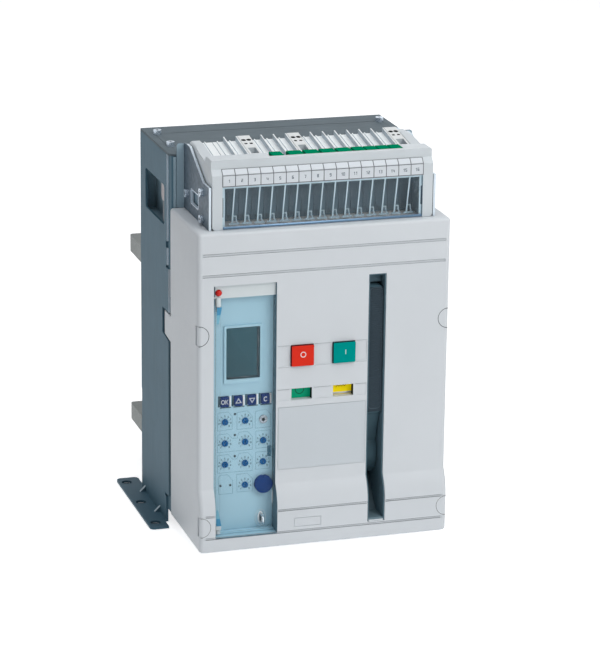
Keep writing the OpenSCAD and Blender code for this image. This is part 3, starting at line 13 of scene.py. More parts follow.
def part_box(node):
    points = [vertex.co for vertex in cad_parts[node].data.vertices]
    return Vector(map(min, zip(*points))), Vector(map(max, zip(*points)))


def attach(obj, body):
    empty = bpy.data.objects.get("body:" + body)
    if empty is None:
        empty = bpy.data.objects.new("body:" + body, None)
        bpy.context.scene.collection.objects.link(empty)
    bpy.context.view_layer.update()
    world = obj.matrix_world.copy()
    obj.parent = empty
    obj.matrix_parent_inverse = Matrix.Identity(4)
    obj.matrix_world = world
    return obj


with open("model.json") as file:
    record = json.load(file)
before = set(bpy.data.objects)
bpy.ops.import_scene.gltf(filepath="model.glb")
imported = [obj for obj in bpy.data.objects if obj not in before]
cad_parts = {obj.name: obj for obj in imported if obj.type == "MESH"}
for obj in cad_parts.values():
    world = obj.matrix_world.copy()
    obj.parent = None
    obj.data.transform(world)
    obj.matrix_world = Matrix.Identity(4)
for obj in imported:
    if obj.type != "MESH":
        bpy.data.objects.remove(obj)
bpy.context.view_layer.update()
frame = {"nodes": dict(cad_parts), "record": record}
nodes = frame["nodes"]
scene = bpy.context.scene
MM = 0.001


# Shader helpers

# Most of a noise texture's values lie between these
NOISE_LOW, NOISE_HIGH = 0.3, 0.7
GRAIN_SCALE = 2600
GRAIN_DEPTH = 0.12
STREAK_DEPTH = 0.1
# Blender's wave texture multiplies its coordinate by this
WAVE_BANDS = 20


def srgb(r, g, b):
    """An 8-bit colour as the linear value that shaders take."""
    out = []
    for v in (r, g, b):
        v /= 255
        out.append(v / 12.92 if v <= 0.04045 else ((v + 0.055) / 1.055) ** 2.4)
    return (*out, 1)


def shade(rgb, k):
    """A colour made darker or lighter."""
    return tuple(min(1, c * k) for c in rgb[:3]) + (1,)


def shader(name):
    """A new material with its node tree, its shader and the object's own coordinates."""
    mat = bpy.data.materials.new(name)
    mat.use_nodes = True
    tree = mat.node_tree
    bsdf = tree.nodes["Principled BSDF"]
    coord = tree.nodes.new("ShaderNodeTexCoord")
    return mat, tree, bsdf, coord.outputs["Object"]


def noise(tree, coord, scale, detail=2.0, stretch=None):
    """Cloudy noise, drawn out along an axis where stretch is small."""
    node = tree.nodes.new("ShaderNodeTexNoise")
    node.inputs["Scale"].default_value = scale
    node.inputs["Detail"].default_value = detail
    if stretch:
        mapping = tree.nodes.new("ShaderNodeMapping")
        mapping.inputs["Scale"].default_value = stretch
        tree.links.new(coord, mapping.inputs["Vector"])
        coord = mapping.outputs["Vector"]
    tree.links.new(coord, node.inputs["Vector"])
    return node.outputs["Fac"]


def spread(tree, value, low, high):
    """The middle range of a noise, spread from low to high."""
    node = tree.nodes.new("ShaderNodeMapRange")
    node.inputs["From Min"].default_value = NOISE_LOW
    node.inputs["From Max"].default_value = NOISE_HIGH
    node.inputs["To Min"].default_value = low
    node.inputs["To Max"].default_value = high
    tree.links.new(value, node.inputs["Value"])
    return node.outputs["Result"]


def tint(tree, bsdf, value, a, b):
    """Let a texture shift the base colour between two tones."""
    node = tree.nodes.new("ShaderNodeMix")
    node.data_type = "RGBA"
    node.inputs["A"].default_value = a
    node.inputs["B"].default_value = b
    tree.links.new(spread(tree, value, 0, 1), node.inputs["Factor"])
    tree.links.new(node.outputs["Result"], bsdf.inputs["Base Color"])


def gloss(tree, bsdf, value, middle_rough, sway):
    """Let a texture shift the roughness to both sides of a middle value."""
    rough = spread(tree, value, middle_rough - sway, middle_rough + sway)
    tree.links.new(rough, bsdf.inputs["Roughness"])


def relief(tree, bsdf, value, strength, depth):
    """Let a texture raise the surface by a depth in millimetres."""
    node = tree.nodes.new("ShaderNodeBump")
    node.inputs["Strength"].default_value = strength
    node.inputs["Distance"].default_value = depth * MM
    tree.links.new(value, node.inputs["Height"])
    tree.links.new(node.outputs["Normal"], bsdf.inputs["Normal"])


# Kinds of material

def plastic(name, rgb, rough=0.45, mottle=0.03, grain=0.12, sheen=0.3, glow=0.0):
    """Moulded plastic: a slow tone drift, a fine spark-eroded grain and uneven gloss, with an optional
    painted glow in its own colour.
    """
    mat, tree, bsdf, coord = shader(name)
    drift = noise(tree, coord, scale=22, detail=3)
    wear = noise(tree, coord, scale=140)
    tint(tree, bsdf, drift, shade(rgb, 1 - mottle), shade(rgb, 1 + mottle))
    gloss(tree, bsdf, wear, rough, sway=0.05)
    relief(tree, bsdf, noise(tree, coord, GRAIN_SCALE), grain, GRAIN_DEPTH)
    bsdf.inputs["Specular IOR Level"].default_value = sheen
    if glow:
        bsdf.inputs["Emission Color"].default_value = rgb
        bsdf.inputs["Emission Strength"].default_value = glow
    return mat


def metal(name, rgb, rough=0.4, metallic=0.7, stretch=(1, 1, 0.04), scale=700, mottle=0.08, draw=0.08):
    """Rolled or plated sheet: drawn streaks, cloudy plating and uneven gloss."""
    mat, tree, bsdf, coord = shader(name)
    cloud = noise(tree, coord, scale=45, detail=4)
    streak = noise(tree, coord, scale, 3, stretch)
    tint(tree, bsdf, cloud, shade(rgb, 1 - mottle), shade(rgb, 1 + mottle))
    gloss(tree, bsdf, streak, rough, draw)
    relief(tree, bsdf, streak, draw, STREAK_DEPTH)
    bsdf.inputs["Metallic"].default_value = metallic
    bsdf.inputs["Specular IOR Level"].default_value = 0.2
    return mat


def zinc(name, rgb, rough):
    """Galvanised sheet with faint crystal spangle."""
    mat, tree, bsdf, coord = shader(name)
    cells = tree.nodes.new("ShaderNodeTexVoronoi")
    cells.inputs["Scale"].default_value = 260
    tree.links.new(coord, cells.inputs["Vector"])
    wear = noise(tree, coord, scale=300, detail=3)
    tint(tree, bsdf, cells.outputs["Color"], shade(rgb, 0.9), shade(rgb, 1.1))
    gloss(tree, bsdf, wear, rough, sway=0.08)
    bsdf.inputs["Metallic"].default_value = 0.35
    bsdf.inputs["Specular IOR Level"].default_value = 0.2
    return mat


def clear(name, rgb, alpha):
    """Clear moulding with a few hazy wipes in its gloss."""
    mat, tree, bsdf, coord = shader(name)
    haze = noise(tree, coord, scale=60, detail=4, stretch=(1, 1, 0.2))
    gloss(tree, bsdf, haze, middle_rough=0.09, sway=0.05)
    tint(tree, bsdf, haze, shade(rgb, 0.97), rgb)
    bsdf.inputs["Alpha"].default_value = alpha
    bsdf.inputs["Specular IOR Level"].default_value = 0.12
    return mat


def ribbed(name, rgb, pitch):
    """Moulded plastic with fine ribs across its height."""
    mat, tree, bsdf, coord = shader(name)
    drift = noise(tree, coord, scale=30, detail=3)
    tint(tree, bsdf, drift, shade(rgb, 0.95), shade(rgb, 1.05))
    wave = tree.nodes.new("ShaderNodeTexWave")
    wave.bands_direction = "Z"
    wave.inputs["Scale"].default_value = 2 * math.pi / (pitch * MM) / WAVE_BANDS
    wave.inputs["Distortion"].default_value = 0.3
    tree.links.new(coord, wave.inputs["Vector"])
    bsdf.inputs["Roughness"].default_value = 0.5
    bsdf.inputs["Specular IOR Level"].default_value = 0.1
    relief(tree, bsdf, wave.outputs["Fac"], strength=0.5, depth=0.4)
    return mat


# Materials by name; the first five groups are the record's material slots

M = {}
ALONG_X = (0.05, 1, 1)
ALONG_Z = (1, 1, 0.05)
EVEN = (1, 1, 1)


def add(make, name, rgb, **finish):
    """Make one named material from an 8-bit colour."""
    M[name] = make(name, srgb(*rgb), **finish)


# Sheet metal and plated parts
add(metal, "plate_steel", (72, 103, 119), rough=0.55, metallic=0.1, mottle=0.05, draw=0.025)
add(metal, "screw_zinc", (194, 206, 218), rough=0.28, metallic=0.85, stretch=EVEN, scale=1200)
add(zinc, "bracket_zinc", (82, 97, 110), rough=0.46)
add(metal, "tinned_copper", (122, 127, 126), rough=0.45, metallic=0.4, stretch=ALONG_X)
add(metal, "socket_grey", (136, 144, 152), rough=0.3, metallic=0.8, stretch=EVEN)
add(metal, "seal_steel", (214, 220, 226), rough=0.25, metallic=0.8, stretch=EVEN, scale=1500)

# Poles and mechanism, inside
add(plastic, "casing_dark", (92, 102, 110), rough=0.5)
add(plastic, "casing_beige", (190, 182, 184), rough=0.5)
add(plastic, "chute_grey", (122, 148, 162), rough=0.55)
add(plastic, "core_resin", (52, 56, 66), rough=0.4)
add(plastic, "carrier_resin", (110, 78, 62), rough=0.5)
add(metal, "copper", (196, 132, 98), rough=0.35, metallic=0.9, stretch=ALONG_Z)
add(metal, "splitter_steel", (120, 122, 124), rough=0.45, metallic=0.8)
add(metal, "cheek_steel", (150, 156, 162), rough=0.4, metallic=0.8)
add(metal, "mech_steel", (158, 162, 168), rough=0.33, metallic=0.9, stretch=ALONG_X)
add(metal, "spring_steel", (110, 112, 116), rough=0.35, metallic=0.9, stretch=EVEN)

# Mouldings of the front and of the terminal block
add(plastic, "cover_grey", (214, 219, 224), rough=0.42, mottle=0.012, grain=0.1, sheen=0.15)
add(plastic, "well_slate", (97, 122, 134), rough=0.42, sheen=0.12)
add(plastic, "handle_slate", (71, 97, 108), rough=0.42, sheen=0.12)
add(plastic, "block_white", (208, 215, 220), rough=0.4, mottle=0.015, sheen=0.2)
add(plastic, "plug_white", (230, 233, 234), rough=0.38, mottle=0.012)
add(plastic, "tray_slate", (114, 140, 156), rough=0.42, mottle=0.04, grain=0.06)
add(plastic, "connector_green", (0, 140, 98), rough=0.6, mottle=0.04, sheen=0.0)
add(clear, "clear_plastic", (225, 236, 242), alpha=0.02)

# Protection unit
add(plastic, "unit_white", (212, 220, 223), rough=0.35, mottle=0.012)
add(plastic, "fascia_blue", (170, 209, 226), rough=0.4, mottle=0.015, grain=0.06)
add(plastic, "lcd_teal", (52, 86, 97), rough=0.3, mottle=0.05, grain=0.01, sheen=0.06)
add(plastic, "reset_red", (212, 40, 32), rough=0.25, grain=0.04, sheen=0.2)
add(plastic, "key_navy", (14, 40, 106), mottle=0.04, grain=0.05, sheen=0.0)
add(plastic, "dial_blue", (0, 88, 150), mottle=0.04, grain=0.05, sheen=0.0)
add(clear, "clear_blue", (196, 226, 238), alpha=0.03)

# Buttons and flags
add(plastic, "button_red", (224, 50, 34), rough=0.34, grain=0.05, sheen=0.05)
add(plastic, "button_green", (0, 150, 144), rough=0.34, grain=0.05, sheen=0.0)
# The flags carry a painted glow, light that stands in for what bounces into their recessed windows
add(plastic, "flag_green", (0, 160, 118), rough=0.4, grain=0.05, sheen=0.12, glow=0.22)
add(plastic, "flag_yellow", (248, 222, 0), rough=0.4, grain=0.05, sheen=0.12, glow=0.25)

# Other tones on the solids' faces; several are painted light or painted shade, as noted
add(metal, "top_grey", (98, 110, 117), rough=0.7, metallic=0.05, stretch=ALONG_X)
# Cut edges of the sheet, made brighter still by a painted highlight
add(metal, "cut_edge", (214, 226, 236), rough=0.4, metallic=0.25, stretch=EVEN, scale=900)
# Painted light: a lit tone for a casing wall that lies deep in shade behind the side windows
add(plastic, "chute_light", (164, 198, 214), rough=0.55)
add(plastic, "knob_blue", (0, 50, 120), rough=0.5, mottle=0.04, grain=0.05, sheen=0.0)
add(plastic, "module_white", (242, 246, 248), rough=0.4)
# Painted shade for the ridges' left sides on the terminal modules
add(plastic, "module_shade", (184, 196, 205), mottle=0.04)
add(plastic, "window_grey", (196, 203, 208))
# Pale blue of the divider clips, also painted light on darts, folds, flanges and a channel end
add(plastic, "clip_blue", (160, 184, 197), rough=0.25, mottle=0.05, grain=0.03)
# Painted shade for the scoop in the handle's well
add(plastic, "scoop_grey", (104, 126, 136), sheen=0.15)
# Painted shade: darker copies of the buttons' red and green for their shaded sides
add(plastic, "red_shade", (112, 22, 26), rough=0.5, mottle=0.05, grain=0.05, sheen=0.1)
add(plastic, "green_shade", (6, 60, 62), rough=0.5, mottle=0.05, grain=0.05, sheen=0.1)
# Black for printed signs, also painted shade in gaps, slits, openings and recesses
add(plastic, "black_gap", (22, 26, 30), rough=0.6, mottle=0.08, grain=0.1, sheen=0.15)
add(ribbed, "grip_ribs", (50, 63, 72), pitch=1.8)
add(clear, "clear_rim", (206, 228, 238), alpha=0.3)

# Prints, labels and trim
# Dark blue print, also painted shade beside the keys
add(plastic, "dark_print", (58, 82, 98), rough=0.5, mottle=0.05, grain=0.1, sheen=0.15)
# White print, also a painted highlight at the charge flag's foot
add(plastic, "white_print", (238, 240, 242), rough=0.4, mottle=0.02)
add(plastic, "pale_print", (178, 214, 208), rough=0.4)
add(plastic, "print_line", (116, 158, 178), rough=0.5, mottle=0.04)
add(plastic, "label_film", (202, 209, 215), rough=0.34, mottle=0.01, grain=0.03)
add(plastic, "label_white", (214, 220, 226), rough=0.38, mottle=0.015, grain=0.06)
add(plastic, "label_ink", (112, 116, 122), rough=0.5, mottle=0.04)
# Grey of the fine seams, also painted shadow lines along the cover's grooves
add(plastic, "seam_grey", (150, 156, 162), rough=0.5, mottle=0.04)
add(plastic, "plug_line", (66, 76, 84), rough=0.5, mottle=0.05, grain=0.1, sheen=0.1)
add(plastic, "gap_blue", (64, 94, 114), rough=0.5, mottle=0.05, grain=0.1, sheen=0.1)
# Painted highlight along the grip's rim
add(plastic, "grip_rim", (74, 90, 100), rough=0.4, mottle=0.05, grain=0.1, sheen=0.1)
add(plastic, "lamp_dark", (70, 86, 96), rough=0.2, mottle=0.05, grain=0.02)
add(plastic, "lcd_dark", (30, 50, 60), rough=0.3, mottle=0.05, grain=0.01)
add(plastic, "catch_teal", (50, 108, 134), rough=0.3, mottle=0.06, grain=0.03)
add(plastic, "hinge_blue", (66, 144, 186), rough=0.3, mottle=0.06, grain=0.03)
add(plastic, "hinge_pale", (118, 182, 206), rough=0.3, mottle=0.06, grain=0.03)
add(plastic, "eye_rim", (206, 226, 235), rough=0.3, grain=0.03)
# Painted highlight on edges: the display's bezel, the dividers' front edges and the channel ends
add(plastic, "edge_light", (196, 220, 232), rough=0.2, grain=0.03)
add(metal, "edge_blue", (104, 132, 158), rough=0.35, metallic=0.5, stretch=(0.04, 1, 1))
add(plastic, "clear_rear", (122, 146, 162), rough=0.3, mottle=0.05, grain=0.03)
# Painted shade in the terminal cover's latch slots
add(plastic, "latch_navy", (42, 66, 90), rough=0.5, mottle=0.05, grain=0.1, sheen=0.2)


# Finish of the solids: soft edges that catch the light

KEYS = ("key_ok", "key_up", "key_down", "key_clear")
# Widths of the soft edges
EDGE_USUAL = 0.3
EDGE = {"front_cover": 0.5, "charge_handle": 0.9, "off_button": 0.7, "on_button": 0.7, "lock_knob": 0.7,
        "terminal_housing": 0.5, "reset_button": 0.15, "unit_cover": 0.2, **dict.fromkeys(KEYS, 0.35)}
SHARP_DEGREES = 38
WELD_GAP = 0.01

slot_of = {p["node"]: p["material_slot"] for p in frame["record"]["subparts"]}
# Nodes that show another tone than their slot's
own_look = {"top_plate": "top_grey", "terminal_modules": "module_white", "lock_knob": "knob_blue",
            "lcd_display": "fascia_blue"}
for name, ob in nodes.items():
    mesh = ob.data
    if "custom_normal" in mesh.attributes:
        mesh.attributes.remove(mesh.attributes["custom_normal"])
    for poly in mesh.polygons:
        poly.use_smooth = True
    weld = ob.modifiers.new("Weld", "WELD")
    weld.merge_threshold = WELD_GAP * MM
    if name != "closing_springs":
        bevel = ob.modifiers.new("Bevel", "BEVEL")
        bevel.width = EDGE.get(name, EDGE_USUAL) * MM
        bevel.segments = 2
        bevel.limit_method = "ANGLE"
        bevel.angle_limit = math.radians(SHARP_DEGREES)
        bevel.harden_normals = True
    mesh.materials.clear()
    mesh.materials.append(M[own_look.get(name, slot_of[name])])


# Places in the frame

def span(node):
    """The two corners of a node's box."""
    low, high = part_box(node)
    return low / MM, high / MM


def middle(node):
    """The middle of a node's box."""
    low, high = span(node)
    return (low + high) / 2


# Front cover: its foot stands forward of the main face by the flare
cover_low, cover_high = span("front_cover")
HALF_W = cover_high.x
FOOT_Y = cover_low.y
FLARE = 7
FRONT_Y = FOOT_Y + FLARE
FLAG_WINDOW_Z = 140
# Protection unit
case_low, case_high = span("unit_case")
fascia_low, fascia_high = span("unit_fascia")
FASCIA_Y = fascia_low.y
# Terminal block: wiring channels below the label beam
CELLS = 16
CELL_PITCH = 10.5
CELL_START = -CELLS * CELL_PITCH / 2
BLOCK_Y = span("terminal_housing")[0].y
BEAM_Z = 314.8


# Paint on single faces of the solids

ANY = (-math.inf, math.inf)
# Shares of a normal along an axis, for faces that turn towards it and faces square to it
FACING = 0.5
SQUARE = 0.9


def inside(c, x=ANY, y=ANY, z=ANY):
    """Whether a point lies between limits."""
    return x[0] < c.x < x[1] and y[0] < c.y < y[1] and z[0] < c.z < z[1]


def around(value, reach):
    """Limits on both sides of a value."""
    return (value - reach, value + reach)


def paint(node, mat, test):
    """Give the faces that pass a test on their middle and normal another material."""
    mesh = nodes[node].data
    if M[mat].name not in mesh.materials:
        mesh.materials.append(M[mat])
    index = mesh.materials.find(M[mat].name)
    for poly in mesh.polygons:
        if test(poly.center / MM, poly.normal):
            poly.material_index = index


def paint_frame():
    """Painted light and shade on the side plates: glints on the darts, highlights on the upper cut edges,
    shade on the lower ones and light on the folds; and what their windows show, with painted light on the
    casing wall deep behind them.
    """
    rear_wall_y, chute_foot_z = 25, 150
    # Painted light on the casing's wall, deep in shade behind the windows
    paint("pole_casing", "chute_light",
          lambda c, n: n.y < -FACING and c.y > rear_wall_y and c.z > chute_foot_z)
    ear_x, ear_arm_z = 100, 274
    paint("pole_front_casing", "casing_dark", lambda c, n: abs(c.x) > ear_x and c.z < ear_arm_z)
    dart_top_z = 12
    edge_y, edge_foot_z, edge_bright_z = (-57, -48), 24, 150
    fold_y, fold_z = -61, 200
    for plate_node in ("left_side_plate", "right_side_plate"):
        # Painted glints on the pressed darts in the foot bends
        paint(plate_node, "clip_blue",
              lambda c, n: abs(n.x) > FACING and n.z > FACING and c.z < dart_top_z)
        # Painted highlight on the upper cut edges
        paint(plate_node, "cut_edge",
              lambda c, n: n.y < -SQUARE and inside(c, y=edge_y) and c.z > edge_bright_z)
        # Painted shade on the lower cut edges, where the gap to the cover lies in shadow
        paint(plate_node, "well_slate",
              lambda c, n: n.y < -SQUARE and inside(c, y=edge_y, z=(edge_foot_z, edge_bright_z)))
        # Painted light on the front folds' faces
        paint(plate_node, "clip_blue", lambda c, n: n.y < -SQUARE and c.y < fold_y and c.z > fold_z)


def paint_cover():
    """Painted shade in the gaps round the buttons, on the flag windows' walls, the buttons' sides, the unit
    recess's side walls and the scoop; the recess floor in the fascia's blue, the clear cover's rim and the
    grip.
    """
    gap_y, gap_x, gap_z = (-149.9, -146.9), 11.6, 10.5
    flag_y, flag_x, flag_z = (-149.9, -143.9), 9.2, 5.4
    cap_y = -145
    for button, tone in (("off_button", "red_shade"), ("on_button", "green_shade")):
        mid = middle(button)
        # Painted shade in the gap round each button, on the top and right walls of the flag windows and on
        # the buttons' sides
        paint("front_cover", "black_gap", lambda c, n: abs(n.y) < FACING
              and inside(c, around(mid.x, gap_x), gap_y, around(mid.z, gap_z)))
        paint("front_cover", "black_gap", lambda c, n: (n.x < -FACING or n.z < -FACING)
              and inside(c, around(mid.x, flag_x), flag_y, around(FLAG_WINDOW_Z, flag_z)))
        paint(button, tone, lambda c, n: abs(n.y) < FACING and c.y < cap_y)
    slack, near = 1.5, 0.5
    wall_z = (case_low.z - slack, case_high.z + slack)
    # Painted shade on the recess's right wall
    paint("front_cover", "well_slate",
          lambda c, n: n.x < -FACING and inside(c, around(case_high.x, slack), z=wall_z))
    # Painted shade on the recess's left wall
    paint("front_cover", "black_gap",
          lambda c, n: n.x > FACING and inside(c, around(case_low.x, slack), z=wall_z))
    paint("front_cover", "fascia_blue", lambda c, n: n.z > FACING and c.y < FASCIA_Y + near
          and inside(c, (case_low.x - slack, case_high.x + slack), z=around(case_low.z, near)))
    paint("unit_case", "fascia_blue", lambda c, n: (n.z > FACING or n.y < -FACING)
          and c.z < fascia_low.z and c.y < fascia_high.y + near)
    well_low, well_high = span("handle_well")
    scoop_z, scoop_slope = (25.5, 54), 0.2
    # Painted shade on the scoop at the foot of the handle's well
    paint("front_cover", "scoop_grey", lambda c, n: n.z > scoop_slope
          and inside(c, (well_low.x, well_high.x), (-math.inf, well_high.y), scoop_z))
    paint("unit_cover", "clear_rim", lambda c, n: abs(n.y) < FACING)
    grip_z, grip_slope = 118, 0.7
    paint("charge_handle", "grip_ribs", lambda c, n: n.y < -grip_slope and c.z > grip_z)


def paint_terminal_block():
    """Painted shade on the ridges, the left channel end and inside the plugs' openings; painted light on the
    right channel end and the brackets' flanges; painted highlights on the brackets' cut edges; grey in the
    plugs' windows.
    """
    # Painted shade on the ridges' left sides
    paint("terminal_modules", "module_shade", lambda c, n: n.x < -FACING)
    end_x, beam_foot_z = (83, 85), 314
    # Painted shade on the channels' left end face and painted light on the right one
    for tone, sx in (("tray_slate", -1), ("clip_blue", 1)):
        paint("terminal_housing", tone, lambda c, n: n.x * sx < -FACING and c.z < beam_foot_z
              and end_x[0] < c.x * sx < end_x[1])
    edge_slope, edge_y, root_y = 0.3, -70, -66
    # Painted highlight on the brackets' cut edges
    paint("terminal_brackets", "cut_edge", lambda c, n: abs(n.x) < edge_slope and c.y < edge_y)
    # Painted light on the brackets' front flanges
    paint("terminal_brackets", "clip_blue", lambda c, n: n.y < -SQUARE and c.y > root_y)
    level, upright = 0.995, 0.6
    plug_y, cell_half = (-116, -72), 4.6

    def in_opening(c, n):
        across = abs((c.x - CELL_START) % CELL_PITCH - CELL_PITCH / 2)
        return n.z > level or (abs(n.z) < upright and inside(c, y=plug_y) and across < cell_half)

    front = span("terminal_plugs")[0].y
    window_y = (front + 8.9, front + 20.6)
    # Painted shade inside the plugs' openings, and grey in their windows
    paint("terminal_plugs", "black_gap", in_opening)
    paint("terminal_plugs", "window_grey", lambda c, n: in_opening(c, n) and inside(c, y=window_y))


# Outlines

def polar(x, z, rx, rz, degrees):
    """A point of an ellipse."""
    a = math.radians(degrees)
    return (x + rx * math.cos(a), z + rz * math.sin(a))


def arc(x, z, rx, rz, a0, a1, n):
    """An ellipse from one angle to another in n steps."""
    return [polar(x, z, rx, rz, a0 + (a1 - a0) * i / n) for i in range(n + 1)]


def disc(x, z, r, n=20):
    """A full circle."""
    return [polar(x, z, r, r, 360 * i / n) for i in range(n)]


def rounded(x0, z0, x1, z1, r, n=4):
    """A rectangle with round corners of n steps each."""
    corners = ((x1 - r, z1 - r, 0), (x0 + r, z1 - r, 90), (x0 + r, z0 + r, 180), (x1 - r, z0 + r, 270))
    return [point for x, z, a in corners for point in arc(x, z, r, r, a, a + 90, n)]


# Mappings from an outline's (u, v) and its height w to the frame

def on_front(y):
    """Outlines in X and Z on a front face at y, raised towards the front."""
    return lambda p: Vector((p[0], y - p[2], p[1])) * MM


def on_top(z):
    """Outlines in X and Y on a level face at z, raised upwards."""
    return lambda p: Vector((p[0], p[1], z + p[2])) * MM


def on_side(x, sign):
    """Outlines in Y and Z on a side face at x, raised away from the middle."""
    return lambda p: Vector((x + sign * p[2], p[0], p[1])) * MM


def on_slope(start, along, out):
    """Outlines in X and along a slope from its start, raised outwards."""
    return lambda p: (Vector((p[0], 0, 0)) + start + along * p[1] + out * p[2]) * MM


# Meshes

def prism(bm, outline, to_world, depth, edge=0.0):
    """A closed outline raised by depth, with its upper rim chamfered by edge."""
    n = len(outline)
    after = outline[1:] + outline[:1]
    area = sum(p[0] * q[1] - q[0] * p[1] for p, q in zip(outline, after))
    if area < 0:
        outline = outline[::-1]
    cu = sum(p[0] for p in outline) / n
    cv = sum(p[1] for p in outline) / n
    levels = [(0, 1), (depth, 1)]
    if edge:
        reach = max(max(abs(p[0] - cu), abs(p[1] - cv)) for p in outline)
        levels = [(0, 1), (depth - edge, 1), (depth, 1 - edge / reach)]
    rings = []
    for w, k in levels:
        rings.append([bm.verts.new(to_world((cu + (u - cu) * k, cv + (v - cv) * k, w))) for u, v in outline])
    for low, high in zip(rings, rings[1:]):
        for i in range(n):
            bm.faces.new((low[i], low[(i + 1) % n], high[(i + 1) % n], high[i]))
    bm.faces.new(rings[0][::-1])
    bm.faces.new(rings[-1])


def stroke(bm, pts, width, to_world, depth, closed=False):
    """A printed line along points: one thin raised strip with mitred corners."""
    n = len(pts)
    runs = n if closed else n - 1
    way = [(Vector(pts[(i + 1) % n]) - Vector(pts[i])).normalized() for i in range(runs)]
    sharpest = 0.4
    rings = []
    for i, p in enumerate(pts):
        p = Vector(p)
        before = way[i - 1] if closed or i else way[0]
        after = way[i % runs] if closed or i < runs else way[-1]
        if not closed and i == 0:
            p -= after * width / 2
        if not closed and i == n - 1:
            p += before * width / 2
        mitre = max(sharpest, 1 + before.dot(after))
        side = Vector((-before.y - after.y, before.x + after.x)) / mitre * width / 2
        section = ((p + side, 0), (p + side, depth), (p - side, depth), (p - side, 0))
        rings.append([bm.verts.new(to_world((q.x, q.y, w))) for q, w in section])
    for i in range(runs):
        a, b = rings[i], rings[(i + 1) % n]
        for k in range(4):
            bm.faces.new((a[k], a[(k + 1) % 4], b[(k + 1) % 4], b[k]))
    if not closed:
        bm.faces.new(rings[0])
        bm.faces.new(rings[-1][::-1])


FIGURE_STEP = 1.6
LOOP = [(0, 0), (1, 0), (1, 2), (0, 2), (0, 0.01)]
FIGURES = {
    "0": [LOOP],
    "1": [[(0.2, 1.6), (0.7, 2), (0.7, 0)]],
    "2": [[(0, 2), (1, 2), (1, 1), (0, 1), (0, 0), (1, 0)]],
    "3": [[(0, 2), (1, 2), (1, 0), (0, 0)], [(0.3, 1), (0.8, 1)]],
    "4": [[(0, 2), (0, 0.8), (0.8, 0.8)], [(1, 1.6), (1, 0)]],
    "5": [[(1, 2), (0, 2), (0, 1), (1, 1), (1, 0), (0, 0)]],
    "6": [[(1, 2), (0, 2), (0, 0), (1, 0), (1, 1), (0.2, 1)]],
    "7": [[(0, 2), (1, 2), (0.4, 0)]],
    "8": [LOOP, [(0.2, 1), (0.8, 1)]],
    "9": [[(0.8, 1), (0, 1), (0, 2), (1, 2), (1, 0), (0, 0)]],
}


def number(bm, text, x, z, tall, width, to_world, depth):
    """A plain number centred on a point; a figure is 1 wide and 2 high before scaling."""
    k = tall / 2
    x -= ((len(text) - 1) * FIGURE_STEP + 1) * k / 2
    for i, figure in enumerate(text):
        for pts in FIGURES[figure]:
            placed = [(x + (u + FIGURE_STEP * i) * k, z + (v - 1) * k) for u, v in pts]
            stroke(bm, placed, width, to_world, depth)


def piece(name, bm, mat, body="frame", slot=None, flat=False):
    """Close a mesh and let it ride on a body."""
    merge_gap = 0.0001
    bmesh.ops.remove_doubles(bm, verts=bm.verts, dist=merge_gap * MM)
    bmesh.ops.recalc_face_normals(bm, faces=bm.faces)
    mesh = bpy.data.meshes.new(name)
    bm.to_mesh(mesh)
    bm.free()
    for poly in mesh.polygons:
        poly.use_smooth = not flat
    mesh.materials.append(M[mat])
    ob = bpy.data.objects.new(name, mesh)
    scene.collection.objects.link(ob)
    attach(ob, body)


def plate(name, mat, outline, to_world, depth, edge=0.0, **options):
    """A piece that is one raised outline."""
    bm = bmesh.new()
    prism(bm, outline, to_world, depth, edge)
    piece(name, bm, mat, **options)


def line(name, mat, pts, width, to_world, depth, closed=False, **options):
    """A piece that is one printed line."""
    bm = bmesh.new()
    stroke(bm, pts, width, to_world, depth, closed)
    piece(name, bm, mat, **options)


# Protection unit

# Heights of printed lines, signs, coloured fields and shadow lines
PRINT = 0.04
SIGN = 0.06
FILM = 0.05
HAIRLINE = 0.03
on_fascia = on_front(FASCIA_Y)


def display():
    """Sunk glass of the display, painted shade of its frame on two sides and a fine line round it, a painted
    highlight on the bezel.
    """
    low, high = span("lcd_display")
    rim, sill, sunk, thick = 2, 3.8, 0.68, 0.36
    plate("lcd_glass", "lcd_teal", rounded(low.x + rim, low.z + sill, high.x - rim, high.z - rim, r=0.5),
          on_front(low.y + sunk), thick, edge=0.15, slot="lcd_teal")
    inset, shade_wide, shade_tall = 0.2, 2.4, 1.8
    x0, x1 = low.x + rim + inset, high.x - rim - inset
    z0, z1 = low.z + sill + inset, high.z - rim - inset
    glass_y = low.y + sunk - thick
    # The two strips' heights differ a little, so that their faces don't coincide
    bm = bmesh.new()
    prism(bm, rounded(x1 - shade_wide, z0, x1, z1, r=0.4), on_front(glass_y + 0.02), SIGN)
    prism(bm, rounded(x0, z0, x1, z0 + shade_tall, r=0.4), on_front(glass_y + 0.01), SIGN)
    piece("lcd_shadow", bm, "lcd_dark")
    outline = rounded(low.x + 0.4, low.z + 0.6, high.x - 0.2, high.z - 0.4, r=1.6)
    line("lcd_outline", "edge_light", outline, 0.2, on_fascia, PRINT, closed=True)


